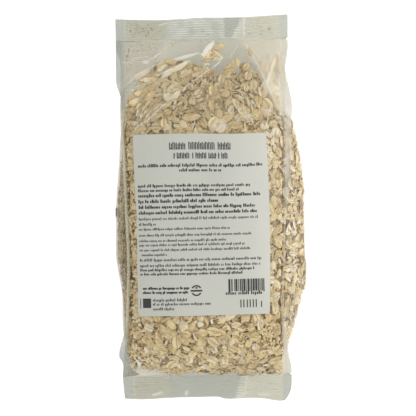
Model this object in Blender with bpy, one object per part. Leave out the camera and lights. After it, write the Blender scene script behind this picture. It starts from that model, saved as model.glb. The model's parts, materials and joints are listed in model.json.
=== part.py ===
"""A clear side-gusset bag filled with rolled oats, lying on its back with its paper label up.

Metres, +Z up. The bag's length runs along Y with the top seal at +Y, and the flat back rests on z = 0.
"""

import bisect
import math

import bmesh
import bpy
from mathutils import Vector, noise

MM = 0.001

# Driving dimensions of the bag
BAG_LENGTH = 295 * MM
SEAL_DEPTH = 17.5 * MM
SEAL_THICKNESS = 0.8 * MM
SEAL_HEIGHT = 8.6 * MM
SEAL_DROOP = 2.0 * MM
RIDGE_COUNT = 9
RIDGE_HEIGHT = 0.25 * MM
TOOTH_PITCH = 2.3 * MM
TOOTH_DEPTH = 0.5 * MM
FIN_THICKNESS = 0.5 * MM
BACK_FIN_WIDTH = 6.0 * MM
BACK_INSET = 2.0 * MM
CENTRE_LINE = -4.24 * MM
CROWN_POWER = 2.6

# Relief that the oats press into the film
FLAKE_SIZE = 8.0 * MM
FLAKE_RELIEF = 1.7 * MM
LUMP_SIZE = 38.0 * MM
LUMP_RELIEF = 1.6 * MM

# Paper label on the front
LABEL_WIDTH = 102 * MM
LABEL_LENGTH = 138 * MM
LABEL_CORNER = 2.5 * MM
LABEL_THICKNESS = 0.3 * MM
LABEL_GAP = 0.3 * MM
LABEL_X = -2.3 * MM
LABEL_Y = -12.6 * MM
LABEL_TURN = math.radians(0.3)
LABEL_MARGIN = 5.0 * MM

# Fineness of the faceted solids
BODY_STEP = 4.0 * MM
FRONT_STEPS = 31
GUSSET_STEPS = 9
BACK_STEPS = 6
SEAL_FRONT_STEPS = 14
LABEL_STEP = 6.5 * MM


def profile(*stations):
    """A smooth curve through (place, value) pairs given in millimetres, level beyond its ends."""
    places = [place * MM for place, _ in stations]
    values = [value * MM for _, value in stations]
    last = len(stations) - 1
    slopes = []
    for i in range(last + 1):
        before, after = max(i - 1, 0), min(i + 1, last)
        slopes.append((values[after] - values[before]) / (places[after] - places[before]))

    def read(place):
        place = min(max(place, places[0]), places[-1])
        i = min(bisect.bisect_right(places, place), last) - 1
        span = places[i + 1] - places[i]
        t = (place - places[i]) / span
        rise = t * t * (3 - 2 * t)
        start = t * (1 - t) ** 2 * slopes[i] * span
        end = t * t * (t - 1) * slopes[i + 1] * span
        return values[i] * (1 - rise) + values[i + 1] * rise + start + end

    return read


# The bag's form along its length: heights above the table, then places across it from its centre line
crown_height = profile(
    (-130, 9), (-126, 15), (-118, 27), (-106, 38), (-88, 45.5), (-55, 50), (-15, 51),
    (25, 49.5), (52, 46), (76, 38.5), (96, 29), (112, 20.5), (126, 12), (130, 9),
)
crease_height = profile(
    (-130, 9), (-126, 11.5), (-118, 18), (-104, 27), (-85, 33.5), (-50, 37), (0, 37.5),
    (40, 34.5), (70, 27.5), (95, 19), (115, 13), (126, 10.4), (130, 9),
)
back_height = profile(
    (-130, 8.2), (-126, 6.4), (-119, 2.4), (-111, 0), (-60, 0), (74, 0), (96, 1.6),
    (114, 4.6), (126, 7.0), (130, 8.2),
)
left_crease = profile(
    (-148, -59.6), (-120, -60.4), (60, -60.4), (95, -59.2), (130, -58.6), (148, -58.6),
)
right_crease = profile(
    (-148, 58.3), (-120, 58.3), (-70, 59.3), (0, 60.6), (65, 61.4), (106, 60.2), (148, 60.5),
)
left_fin_width = profile(
    (-147.5, 4.0), (-130, 4.0), (-119, 3.8), (-113, 7.3), (-100, 6.6), (80, 6.6), (112, 7.4),
    (147.5, 7.8),
)
right_fin_width = profile(
    (-147.5, 1.2), (-145.5, 3.6), (-140, 5.3), (-126, 6.2), (-112, 5.6), (-90, 6.4), (90, 6.4),
    (124, 6.2), (147.5, 6.4),
)
left_bulge = profile(
    (-127, -30), (-117, -16), (-107, -2), (-96, 4.0), (-62, 4.4), (-48, 6.6), (-33, 8.2),
    (10, 6.8), (47, 4.4), (66, 0.5), (90, -10), (126, -30),
)
right_bulge = profile(
    (-127, -30), (-120, -18), (-112, 0), (-103, 6.2), (-84, 11), (-66, 16), (-58, 18),
    (-35, 17.6), (-5, 17), (20, 16.2), (44, 12.6), (66, 7.6), (78, 0), (94, -12), (126, -31),
)

# How far each front corner fin leans up from flat, in degrees along the length
left_fin_lean = profile(
    (-127, 0), (-113, 5), (-104, 30), (-90, 66), (60, 68), (84, 52), (96, 25), (106, 0), (130, 0),
)
right_fin_lean = profile(
    (-130, 0), (-124, 15), (-112, 45), (-90, 60), (-60, 74), (20, 62), (60, 35), (85, 25),
    (106, 58), (126, 0),
)

# Where the oats end under the film, from the centre line out to each side
oats_top = profile(
    (-62, 64), (-56, 88), (-50, 98), (-37, 110), (-28, 113), (-5, 107), (12, 106), (30, 108),
    (42, 104), (62, 96),
)

# Drawn folds in the slack film above the oats: start, end, width and height in millimetres
FOLDS = (
    ((-64, 112), (-50, 115), 2.6, 0.9),
    ((-50, 115), (-36, 119), 2.4, 0.7),
    ((-54, 98), (-40, 106), 3.0, 1.3),
    ((-40, 106), (-24, 113), 3.0, 1.4),
    ((-24, 113), (-4, 119), 2.8, 1.7),
    ((-4, 119), (10, 127), 2.6, 1.2),
    ((15, 114), (9, 106), 2.6, 1.2),
    ((9, 106), (-8, 96), 2.6, 1.3),
    ((-8, 96), (-29, 81), 2.4, 1.2),
    ((-29, 81), (-45, 69), 2.4, 1.4),
    ((-39, 86), (-52, 66), 2.6, 1.1),
    ((52, 116), (49, 102), 3.2, 1.6),
    ((49, 102), (56, 86), 3.4, 1.2),
    ((24, 128), (38, 98), 3.0, 1.0),
    ((38, 98), (57, 68), 3.0, 0.9),
)
FOLDS_START = 60 * MM


def soft_step(value, low, high):
    """0 below low, 1 above high, and a smooth ramp between them."""
    t = min(max((value - low) / (high - low), 0.0), 1.0)
    return t * t * (3 - 2 * t)


def fold_relief(x, y):
    """How far the drawn folds lift the film at a place."""
    if y < FOLDS_START:
        return 0.0
    lift = 0.0
    place = Vector((x, y))
    for start, end, width, height in FOLDS:
        a, b = Vector(start) * MM, Vector(end) * MM
        along = b - a
        t = min(max((place - a).dot(along) / along.length_squared, 0.0), 1.0)
        away = (place - a - along * t).length / (width * MM)
        lift = max(lift, height * MM * math.exp(-away * away))
    return lift


def under_label(x, y):
    """1 under the label, fading to 0 a little way outside it."""
    across = x - LABEL_X
    along = y - LABEL_Y
    u = across * math.cos(LABEL_TURN) + along * math.sin(LABEL_TURN)
    v = along * math.cos(LABEL_TURN) - across * math.sin(LABEL_TURN)
    outside = max(abs(u) - LABEL_WIDTH / 2, abs(v) - LABEL_LENGTH / 2)
    return 1 - soft_step(outside, 1.0 * MM, LABEL_MARGIN)


def filled(x, y):
    """1 where oats press on the film, fading to 0 above them and near the bottom seal."""
    return (1 - soft_step(y, oats_top(x) - 8 * MM, oats_top(x) + 4 * MM)) * soft_step(
        y, -128 * MM, -118 * MM
    )


def lumps(x, y, z):
    """The slow unevenness of the packed oats."""
    return LUMP_RELIEF * noise.noise(Vector((x, y, z)) / LUMP_SIZE)


def flakes(x, y, z):
    """The relief of single flakes behind the film."""
    return FLAKE_RELIEF * noise.noise(Vector((x, y, z)) / FLAKE_SIZE + Vector((7, 3, 5)))


def smooth_front(x, y):
    """Height of the front film without the flakes' relief."""
    left, right = left_crease(y), right_crease(y)
    u = (2 * x - left - right) / (right - left)
    crowned = 1 - min(abs(u), 1.0) ** CROWN_POWER
    height = crease_height(y) + (crown_height(y) - crease_height(y)) * crowned
    ends = soft_step(BAG_LENGTH / 2 - SEAL_DEPTH - abs(y), 0, 14 * MM)
    return height + (lumps(x, y, 0) + fold_relief(x, y)) * ends * soft_step(crowned, 0, 0.3)


def front_height(x, y):
    """Height of the front film at a place."""
    share = filled(x, y) * (1 - under_label(x, y))
    return smooth_front(x, y) + flakes(x, y, 0) * share


def gusset(y, start, end, bulge, side):
    """Points of a side panel between the bases of its front and back fins, both left out."""
    points = []
    for i in range(1, GUSSET_STEPS):
        t = i / GUSSET_STEPS
        eased = (t + 0.5 - 0.5 * math.cos(math.pi * t)) / 2
        x = start[0] + (end[0] - start[0]) * eased
        z = start[1] + (end[1] - start[1]) * eased
        out = math.sin(math.pi * t)
        relief = (flakes(x, y, z) + lumps(x, y, z)) * out * filled(x, y)
        if bulge < 0:
            relief = 0.0
        points.append((x + side * (bulge * out + relief), z))
    return points


def side_points(y, side):
    """Points from the front fin round the side panel to the back fin, on one side of the bag."""
    crease = (right_crease if side > 0 else left_crease)(y)
    width = (right_fin_width if side > 0 else left_fin_width)(y)
    lean = math.radians((right_fin_lean if side > 0 else left_fin_lean)(y) / MM)
    bulge = (right_bulge if side > 0 else left_bulge)(y)
    ends = soft_step(BAG_LENGTH / 2 - SEAL_DEPTH - abs(y), 4 * MM, 20 * MM)
    top = (crease, smooth_front(crease, y))
    reach = (side * math.cos(lean), math.sin(lean))
    under = (side * math.sin(lean) * FIN_THICKNESS, -math.cos(lean) * FIN_THICKNESS)
    tip = (top[0] + width * reach[0], top[1] + width * reach[1])
    tip_under = (tip[0] + under[0], tip[1] + under[1])
    base_under = (top[0] + under[0], top[1] + under[1])
    back_x = crease - side * BACK_INSET * ends
    back_z = max(back_height(y), 0.0)
    back_tip = back_x + side * (width + (BACK_FIN_WIDTH - width) * ends)
    base_back = (back_x, back_z + FIN_THICKNESS)
    return (
        [tip, tip_under, base_under]
        + gusset(y, base_under, base_back, bulge, side)
        + [base_back, (back_tip, back_z + FIN_THICKNESS), (back_tip, back_z)]
    )


def body_ring(y):
    """The bag's outline across its length at y, as (share round the outline, point) pairs."""
    left, right = left_crease(y), right_crease(y)
    front = [left + (right - left) * i / FRONT_STEPS for i in range(FRONT_STEPS + 1)]
    top = [(x, front_height(x, y)) for x in front]
    right_side = side_points(y, 1)
    left_side = side_points(y, -1)[::-1]
    back_z = max(back_height(y), 0.0)
    ends = soft_step(BAG_LENGTH / 2 - SEAL_DEPTH - abs(y), 4 * MM, 20 * MM)
    inset = BACK_INSET * ends
    back = [
        (right - inset + (left - right + 2 * inset) * i / BACK_STEPS, back_z)
        for i in range(BACK_STEPS + 1)
    ]
    ring = []
    for quarter, points in enumerate((top, right_side, back, left_side)):
        count = len(points)
        ring += [(quarter + (i + 0.5) / count, (x, y, z)) for i, (x, z) in enumerate(points)]
    return ring


def seal_surface(x, y):
    """Middle height of the crimped seal strip."""
    into = abs(y) - (BAG_LENGTH / 2 - SEAL_DEPTH)
    ridge = 0.5 - 0.5 * math.cos(2 * math.pi * RIDGE_COUNT * into / SEAL_DEPTH)
    wave = 0.8 * MM * math.sin(x / (26 * MM) + (1.0 if y > 0 else 2.6))
    share = soft_step(into, 0, SEAL_DEPTH)
    return SEAL_HEIGHT - SEAL_DROOP * share + wave * share + RIDGE_HEIGHT * ridge


def seal_edges(y):
    """The two outer edges of the seal strip at y."""
    return left_crease(y) - left_fin_width(y), right_crease(y) + right_fin_width(y)


def seal_ring(y):
    """The flat seal's outline at y, top side then underside."""
    left, right = seal_edges(y)
    xs = [left + (right - left) * i / SEAL_FRONT_STEPS for i in range(SEAL_FRONT_STEPS + 1)]
    half = SEAL_THICKNESS / 2
    count = len(xs)
    top = [((i + 0.5) / count * 1.5 - 0.25, (x, y, seal_surface(x, y) + half)) for i, x in enumerate(xs)]
    under = [
        (1.75 + (i + 0.5) / count * 1.5, (x, y, seal_surface(x, y) - half))
        for i, x in enumerate(xs[::-1])
    ]
    return top + under


def zigzag_edge(end):
    """The saw-cut outer edge of a seal: its points along the top side and along the underside."""
    limit = end * BAG_LENGTH / 2
    left, right = seal_edges(limit)
    count = 2 * round((right - left) / TOOTH_PITCH)
    half = SEAL_THICKNESS / 2
    top, under = [], []
    for i in range(count + 1):
        x = left + (right - left) * i / count
        y = limit - (end * TOOTH_DEPTH if i % 2 else 0.0)
        z = seal_surface(x, limit)
        top.append((-0.25 + 1.5 * i / count, (x, y, z + half)))
        under.append((3.25 - 1.5 * i / count, (x, y, z - half)))
    return top, under


def add_ring(mesh, ring):
    """Put a ring's points into the mesh, keeping each one's share round the outline."""
    return [(share, mesh.verts.new(point)) for share, point in ring]


def stitch(mesh, first, second):
    """Join two closed rings with triangles, walking round both by their shares."""
    i = j = 0
    a, b = len(first), len(second)
    while i < a or j < b:
        next_a = first[(i + 1) % a][0] + (4.0 if i + 1 >= a else 0.0)
        next_b = second[(j + 1) % b][0] + (4.0 if j + 1 >= b else 0.0)
        here = (first[i % a][1], second[j % b][1])
        if j >= b or (i < a and next_a <= next_b):
            mesh.faces.new((here[0], first[(i + 1) % a][1], here[1]))
            i += 1
        else:
            mesh.faces.new((here[0], second[(j + 1) % b][1], here[1]))
            j += 1


def steps_between(start, end, step):
    """Evenly spaced places from start to end, both kept, about one step apart."""
    count = max(1, round(abs(end - start) / step))
    return [start + (end - start) * i / count for i in range(count + 1)]


def bag_mesh():
    """The whole filled bag as one closed body."""
    mesh = bmesh.new()
    inner = BAG_LENGTH / 2 - SEAL_DEPTH
    outer = BAG_LENGTH / 2 - 1.6 * TOOTH_DEPTH
    ridge_step = SEAL_DEPTH / RIDGE_COUNT / 2
    low_seal = steps_between(-outer, -inner, ridge_step)
    high_seal = steps_between(inner, outer, ridge_step)
    body = steps_between(-inner + BODY_STEP, inner - BODY_STEP, BODY_STEP)
    low_top, low_under = zigzag_edge(-1)
    high_top, high_under = zigzag_edge(1)
    rings = [add_ring(mesh, low_top + low_under[::-1])]
    rings += [add_ring(mesh, seal_ring(y)) for y in low_seal]
    rings += [add_ring(mesh, body_ring(y)) for y in body]
    rings += [add_ring(mesh, seal_ring(y)) for y in high_seal]
    rings += [add_ring(mesh, high_top + high_under[::-1])]
    for first, second in zip(rings, rings[1:], strict=False):
        stitch(mesh, first, second)
    for edge in (rings[0], rings[-1]):
        count = len(edge) // 2
        for i in range(count - 1):
            mesh.faces.new((edge[i][1], edge[i + 1][1], edge[-i - 2][1], edge[-i - 1][1]))
    return mesh


def label_rows():
    """Distances along the label and the half-width there, rounded at the corners."""
    half = LABEL_LENGTH / 2
    corner = [LABEL_CORNER * (1 - math.cos(math.radians(a))) for a in (0, 30, 60, 90)]
    rows = [-half + d for d in corner]
    rows += steps_between(-half + LABEL_CORNER, half - LABEL_CORNER, LABEL_STEP)[1:-1]
    rows += [half - d for d in corner[::-1]]
    for v in rows:
        into = min(half - abs(v), LABEL_CORNER)
        bite = LABEL_CORNER - math.sqrt(max(LABEL_CORNER**2 - (LABEL_CORNER - into) ** 2, 0.0))
        yield v, LABEL_WIDTH / 2 - bite


def label_mesh():
    """The paper label as a thin closed sheet that follows the front of the bag."""
    mesh = bmesh.new()
    steps = round(LABEL_WIDTH / LABEL_STEP)
    sides = []
    for lift in (LABEL_GAP, LABEL_GAP + LABEL_THICKNESS):
        grid = []
        for v, half_width in label_rows():
            row = []
            for i in range(steps + 1):
                u = half_width * (2 * i / steps - 1)
                x = LABEL_X + u * math.cos(LABEL_TURN) - v * math.sin(LABEL_TURN)
                y = LABEL_Y + v * math.cos(LABEL_TURN) + u * math.sin(LABEL_TURN)
                row.append(mesh.verts.new((x, y, smooth_front(x, y) + lift)))
            grid.append(row)
        for low, high in zip(grid, grid[1:], strict=False):
            for i in range(steps):
                mesh.faces.new((low[i], low[i + 1], high[i + 1], high[i]))
        rim = grid[0][:-1] + [row[-1] for row in grid[:-1]]
        rim += grid[-1][:0:-1] + [row[0] for row in grid[:0:-1]]
        sides.append(rim)
    lower, upper = sides
    for i in range(len(lower)):
        k = (i + 1) % len(lower)
        mesh.faces.new((lower[i], lower[k], upper[k], upper[i]))
    return mesh


def finish(name):
    """A plain Principled material."""
    colour, roughness = {
        "oats_in_film": ((0.50, 0.40, 0.26, 1.0), 0.45),
        "label_paper": ((0.63, 0.63, 0.55, 1.0), 0.55),
    }[name]
    material = bpy.data.materials.new(name)
    material.use_nodes = True
    shader = material.node_tree.nodes["Principled BSDF"]
    shader.inputs["Base Color"].default_value = colour
    shader.inputs["Roughness"].default_value = roughness
    shader.inputs["Metallic"].default_value = 0.0
    return material


def add_object(name, mesh, material):
    """Turn a bmesh into a named object whose faces point out, on the bag's centre line."""
    bmesh.ops.triangulate(mesh, faces=mesh.faces)
    bmesh.ops.recalc_face_normals(mesh, faces=mesh.faces)
    bmesh.ops.translate(mesh, verts=mesh.verts, vec=(CENTRE_LINE, 0.0, 0.0))
    data = bpy.data.meshes.new(name)
    mesh.to_mesh(data)
    mesh.free()
    data.shade_smooth()
    data.set_sharp_from_angle(angle=math.radians(40))
    data.materials.append(material)
    thing = bpy.data.objects.new(name, data)
    bpy.context.scene.collection.objects.link(thing)
    return thing


def main():
    """Clear the scene, then build the filled bag and its label."""
    for thing in list(bpy.data.objects):
        bpy.data.objects.remove(thing)
    add_object("bag", bag_mesh(), finish("oats_in_film"))
    add_object("label", label_mesh(), finish("label_paper"))


main()
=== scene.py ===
"""The looks of a clear side-gusset bag of rolled oats: film, flakes, dust, label and its print."""

import bisect
import json
import math
import random
from itertools import pairwise

import bmesh
import bpy
from mathutils import Matrix, Vector, noise

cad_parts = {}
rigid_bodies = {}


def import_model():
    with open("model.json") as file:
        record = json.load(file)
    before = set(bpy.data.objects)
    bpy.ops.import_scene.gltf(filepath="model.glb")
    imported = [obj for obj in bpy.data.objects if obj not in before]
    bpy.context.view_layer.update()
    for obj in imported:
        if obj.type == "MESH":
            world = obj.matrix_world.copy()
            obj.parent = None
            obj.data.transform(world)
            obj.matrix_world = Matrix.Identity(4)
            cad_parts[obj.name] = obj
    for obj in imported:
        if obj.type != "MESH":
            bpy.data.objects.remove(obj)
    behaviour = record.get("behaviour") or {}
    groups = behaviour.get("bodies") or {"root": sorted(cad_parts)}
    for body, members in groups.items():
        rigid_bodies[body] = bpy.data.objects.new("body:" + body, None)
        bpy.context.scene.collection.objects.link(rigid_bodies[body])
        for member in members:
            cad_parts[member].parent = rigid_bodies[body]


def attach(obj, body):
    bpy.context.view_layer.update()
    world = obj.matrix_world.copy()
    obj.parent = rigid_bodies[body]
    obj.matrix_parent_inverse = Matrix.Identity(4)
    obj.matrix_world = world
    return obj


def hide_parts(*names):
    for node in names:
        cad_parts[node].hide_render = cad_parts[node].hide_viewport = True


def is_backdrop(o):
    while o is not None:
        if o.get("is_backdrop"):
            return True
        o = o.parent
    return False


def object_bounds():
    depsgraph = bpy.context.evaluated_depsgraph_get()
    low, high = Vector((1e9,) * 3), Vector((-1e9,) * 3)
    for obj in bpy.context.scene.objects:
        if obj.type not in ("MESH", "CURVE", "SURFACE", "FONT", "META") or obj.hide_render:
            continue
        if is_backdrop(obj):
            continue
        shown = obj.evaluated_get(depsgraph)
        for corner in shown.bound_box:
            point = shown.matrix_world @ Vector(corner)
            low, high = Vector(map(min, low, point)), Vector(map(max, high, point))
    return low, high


MM = 0.001

# The bag's own sizes
BAG_LENGTH = 295 * MM
SEAL_DEPTH = 17.5 * MM
SEAL_START = BAG_LENGTH / 2 - SEAL_DEPTH
SEAL_THICKNESS = 0.8 * MM
SEAL_HEIGHT = 8.6 * MM
SEAL_DROOP = 2.0 * MM
SEAL_WAVE = 0.8 * MM
SEAL_WAVE_LENGTH = 26 * MM
RIDGE_COUNT = 9
RIDGE_HEIGHT = 0.32 * MM
TOOTH_PITCH = 2.3 * MM
TOOTH_DEPTH = 0.5 * MM
FIN_THICKNESS = 0.5 * MM
BACK_FIN_WIDTH = 6.0 * MM
BACK_INSET = 2.0 * MM
CENTRE_LINE = -4.24 * MM
CROWN_POWER = 2.6

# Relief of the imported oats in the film
FLAKE_SIZE = 8.0 * MM
FLAKE_RELIEF = 0.7 * MM
LUMP_SIZE = 38.0 * MM
LUMP_RELIEF = 1.6 * MM
SIDE_FLAKES = 0.3
END_RISE = 14 * MM
BARE_FROM = 1.0 * MM

# Label
LABEL_WIDTH = 102 * MM
LABEL_LENGTH = 138 * MM
LABEL_CORNER = 2.5 * MM
LABEL_X = -2.3 * MM
LABEL_Y = -12.6 * MM
LABEL_TURN = math.radians(0.3)
LABEL_SAG = 1.1 * MM
LABEL_MARGIN = 5.0 * MM
LABEL_UNDER = 0.32 * MM
LABEL_TOP = 0.58 * MM
LABEL_WAVE = 0.44 * MM
LABEL_WAVE_SIZE = 16 * MM
INK_LIFT = 0.03 * MM
INK_DEPTH = 0.05 * MM

# Fineness of the film and label meshes
FRONT_STEPS = 150
GUSSET_STEPS = 24
BACK_STEPS = 20
COARSE_STEP = 1.6 * MM
FINE_STEP = 0.75 * MM
FINE_FROM = 56 * MM
SEAL_FRONT_STEPS = 110
STEPS_A_RIDGE = 7
LABEL_STEP = 1.6 * MM


def profile(*stations):
    """A smooth curve through (place, value) pairs given in millimetres, level beyond its ends."""
    places = [place * MM for place, _ in stations]
    values = [value * MM for _, value in stations]
    last = len(stations) - 1
    slopes = []
    for i in range(last + 1):
        before, after = max(i - 1, 0), min(i + 1, last)
        slopes.append((values[after] - values[before]) / (places[after] - places[before]))

    def read(place):
        place = min(max(place, places[0]), places[-1])
        i = min(bisect.bisect_right(places, place), last) - 1
        span = places[i + 1] - places[i]
        t = (place - places[i]) / span
        rise = t * t * (3 - 2 * t)
        start = t * (1 - t) ** 2 * slopes[i] * span
        end = t * t * (t - 1) * slopes[i + 1] * span
        return values[i] * (1 - rise) + values[i + 1] * rise + start + end

    return read


# The bag's form along its length: heights above the table, then places across it from its centre line
crown_height = profile(
    (-130, 9), (-126, 15), (-118, 27), (-106, 38), (-88, 45.5), (-55, 50), (-15, 51),
    (25, 49.5), (52, 46), (76, 38.5), (96, 29), (112, 20.5), (126, 12), (130, 9),
)
crease_height = profile(
    (-130, 9), (-126, 11.5), (-118, 18), (-104, 27), (-85, 33.5), (-50, 37), (0, 37.5),
    (40, 34.5), (70, 27.5), (95, 19), (115, 13), (126, 10.4), (130, 9),
)
back_height = profile(
    (-130, 8.2), (-126, 6.4), (-119, 2.4), (-111, 0), (-60, 0), (74, 0), (96, 1.6),
    (114, 4.6), (126, 7.0), (130, 8.2),
)
left_crease = profile(
    (-148, -59.6), (-120, -60.2), (-96, -58.8), (-62, -57.2), (-36, -56.6), (0, -57.6), (40, -58.6),
    (60, -59.7), (76, -59.9), (95, -59.2), (130, -58.6), (148, -58.6),
)
right_crease = profile(
    (-148, 58.3), (-120, 58.2), (-100, 57.2), (-80, 56.6), (-62, 57.2), (-38, 58.6), (0, 59.5),
    (35, 59.8), (65, 60.0), (106, 60.0), (148, 60.5),
)
left_fin_width = profile(
    (-147.5, 4.4), (-130, 5.0), (-119, 4.4), (-113, 7.3), (-100, 6.6), (80, 6.6), (112, 7.4),
    (147.5, 7.8),
)
right_fin_width = profile(
    (-147.5, 0.9), (-145.5, 3.6), (-142, 5.9), (-138, 6.6), (-126, 6.8), (-112, 6.2), (-90, 6.8),
    (58, 7.2), (76, 8.8), (90, 7.4), (106, 6.8), (124, 6.3), (147.5, 6.4),
)
left_bulge = profile(
    (-130, -12), (-125, -4), (-119, 0), (-110, 2.8), (-96, 5.6), (-62, 7.6), (-48, 10.3), (-33, 12.0),
    (10, 9.4), (47, 6.2), (64, 2.6), (90, -10), (126, -30),
)
right_bulge = profile(
    (-130, -12), (-125, -3), (-119, 1.1), (-111, 4.1), (-102, 8.2), (-84, 14.2), (-66, 19.3),
    (-58, 21.9), (-35, 20.3), (-5, 19.3), (20, 18.4), (44, 14.8), (66, 9.6), (78, 1.0), (94, -12),
    (126, -31),
)
left_fin_lean = profile(
    (-127, 0), (-113, 5), (-104, 30), (-90, 66), (60, 68), (84, 70), (90, 52), (96, 22), (102, 0),
    (130, 0),
)
right_fin_lean = profile(
    (-130, 0), (-124, 15), (-112, 45), (-90, 66), (-60, 78), (-5, 76), (12, 50), (35, 25),
    (60, 22), (85, 25), (106, 58), (126, 0),
)
oats_top = profile(
    (-62, 60), (-59.3, 65), (-56.7, 79), (-53.5, 86), (-49.6, 91.5), (-46.4, 97.5), (-40, 106.5),
    (-28.4, 112), (-17, 112), (-9, 109), (1, 107), (10, 104), (17, 106), (23, 104), (29, 105),
    (35.5, 107), (41, 103), (46, 107), (54, 111), (62, 109),
)

# Broad soft folds in the slack film above the oats: start, end, width and height in millimetres
FOLDS = (
    ((-64, 112), (-50, 115), 1.8, 0.4),
    ((-50, 115), (-36, 119), 1.8, 0.3),
    ((-54, 98), (-40, 106), 2.0, 0.6),
    ((-40, 106), (-24, 113), 2.0, 0.6),
    ((-24, 113), (-4, 119), 2.0, 0.7),
    ((-4, 119), (10, 127), 2.0, 0.5),
    ((15, 114), (9, 106), 1.8, 0.5),
    ((9, 106), (-8, 96), 1.8, 0.6),
    ((-8, 96), (-29, 81), 1.8, 0.6),
    ((-29, 81), (-45, 69), 1.8, 0.6),
    ((-39, 86), (-52, 66), 1.8, 0.5),
    ((52, 116), (49, 102), 2.4, 0.9),
    ((49, 102), (56, 86), 2.4, 0.7),
    ((24, 128), (38, 98), 2.2, 0.5),
    ((38, 98), (57, 68), 2.2, 0.5),
)
FOLDS_START = 50 * MM
CREASE_GLINT = 0.9
CREASE_REACH = 3.0
CREASE_SPLITS_FROM = 0.15
CREASE_LIFTS_FROM = 0.05

# Sharp creases there: points along each, half-width and height in millimetres, and whiteness,
# which is a painted highlight along the crease. Their glint and reach are in half-widths.
# Film this near, from 0 to 1, is split or lifted.
CREASES = (
    (((-61.9, 112), (-57.7, 112.7), (-53.8, 114.9), (-49.1, 116), (-43, 116.4)), 0.45, 0.4, 0.6),
    (((-43, 116.4), (-39.2, 114.7), (-35.3, 116.9), (-31.4, 119.6)), 0.5, 0.5, 0.75),
    (((-47.6, 116.8), (-42.2, 119.4), (-36.7, 122.3)), 0.5, 0.3, 0.3),
    (((-56.9, 112.3), (-52.3, 113.4)), 0.4, 0.3, 0.45),
    (((-23.8, 113.6), (-15.3, 115.8), (-9.1, 117.2), (-3.7, 118.8)), 0.5, 0.6, 0.8),
    (((-3.7, 118.8), (-0.6, 118.1), (1.7, 115.9)), 0.5, 0.5, 0.7),
    (((-23, 112.1), (-16.8, 113.5), (-10.6, 115.7), (-5.2, 117.6)), 0.45, 0.4, 0.4),
    (((-56.4, 96.9), (-50.2, 102.2), (-43.2, 105.9), (-36.2, 109.6), (-30, 112.2)), 0.6, 0.6, 0.6),
    (((-34, 101.9), (-26.2, 105.6), (-18.5, 108.9), (-9.9, 112.2)), 0.9, 0.8, 0.6),
    (((15.5, 115.3), (13.2, 111.1), (8.5, 106.9), (3, 103.5), (-1.7, 100.2)), 0.5, 0.7, 0.85),
    (((-1.7, 100.2), (-7.1, 96), (-12.6, 92.3), (-15.7, 88.5)), 0.45, 0.6, 0.65),
    (((0.8, 110.1), (6.2, 109.8), (10.8, 109)), 0.4, 0.3, 0.35),
    (((-38.2, 82.7), (-42.9, 78.2), (-47.6, 72.1), (-51.2, 66.8), (-52.8, 61.4)), 0.45, 0.5, 0.6),
    (((-29, 79.1), (-34.5, 74.2), (-40.7, 68.5), (-47, 64), (-51.6, 61.4)), 0.5, 0.5, 0.8),
    (((56.3, 114.6), (54.7, 110.3), (53.1, 105.8), (51.1, 100.4), (49.1, 95)), 1.1, 1.0, 0.55),
    (((33.1, 126.9), (35.7, 121.5), (39.4, 114.5), (43.1, 107.5), (46.8, 98.9)), 0.6, 0.5, 0.4),
    (((46.8, 98.9), (50.5, 89.6), (55.7, 78.8), (60.9, 68.7)), 0.6, 0.5, 0.3),
    (((34.2, 125.3), (40.2, 119.1), (46.3, 110.5), (50.8, 103.5)), 0.6, 0.4, 0.3),
    (((28.8, 125.4), (25.6, 120.9), (21.7, 114.8)), 0.6, 0.3, 0.35),
    (((45.6, 74.3), (51.8, 72.7), (57.8, 67.9), (60.8, 63.3)), 0.6, 0.5, 0.4),
    (((52.6, 78.8), (49.4, 70.4), (48.4, 56.5)), 0.5, 0.4, 0.4),
)

# Pale dusty spots on the film: middle, half-lengths, turn in degrees, and cover
PALE_SPOTS = (
    (-60.4, 112.4, 1.9, 0.8, 0, 0.6),
    (12.2, 62.0, 7.5, 5.5, 0, 0.5),
    (-46, 103, 9.0, 2.4, 30, 0.5),
    (50.5, 92, 5.0, 8.0, 0, 0.35),
    (50.5, 72, 4.0, 3.0, 0, 0.3),
)

# Painted glints on pointed folds, cream and pale: middle, half-lengths, turn in degrees, and cover
CREAM_FOLD_GLINTS = (
    (-17.1, 107.9, 7.6, 2.3, 31, 0.9),
    (-30.7, 107.4, 4.8, 1.8, 38, 0.85),
    (-26.4, 103.4, 6.2, 2.3, 36, 0.85),
    (-41.5, 98.9, 6.2, 1.7, 8, 0.75),
    (-27.4, 84.6, 4.0, 2.6, -50, 0.7),
    (-21.0, 85.5, 5.0, 2.0, 28, 0.75),
    (4.8, 119.7, 6.6, 1.8, 53, 0.85),
    (12.4, 117.7, 4.6, 1.5, -42, 0.75),
    (12.8, 113.9, 4.4, 1.4, 12, 0.75),
    (54.6, 108.4, 7.2, 1.8, 73, 0.75),
    (53.5, 99.9, 4.4, 3.4, 60, 0.6),
    (54.8, 90.7, 4.6, 3.2, 0, 0.45),
    (48.5, 108.1, 5.0, 3.2, 100, 0.3),
    (-34.4, 77.2, 5.6, 1.3, 40, 0.5),
    (-43.0, 72.8, 5.6, 1.3, 45, 0.4),
    (-12.4, 102.3, 6.0, 1.4, 28, 0.4),
    (62.1, 91.0, 1.6, 16, 0, 0.35),
    (-48.0, 92.9, 7.0, 2.2, 25, 0.45),
    (-32.5, 97.2, 6.0, 1.8, 35, 0.4),
    (-52.0, 83.7, 6.5, 2.0, 25, 0.35),
)
# Pale painted glints on pointed folds, in the same columns
PALE_FOLD_GLINTS = (
    (4.9, 122.1, 8.2, 2.5, 50, 0.85),
    (-43.0, 112.7, 3.2, 1.7, 0, 0.5),
    (-12.2, 116.1, 9.8, 1.5, 13, 0.5),
    (3.9, 109.8, 2.8, 0.9, 0, 0.5),
)
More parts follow.
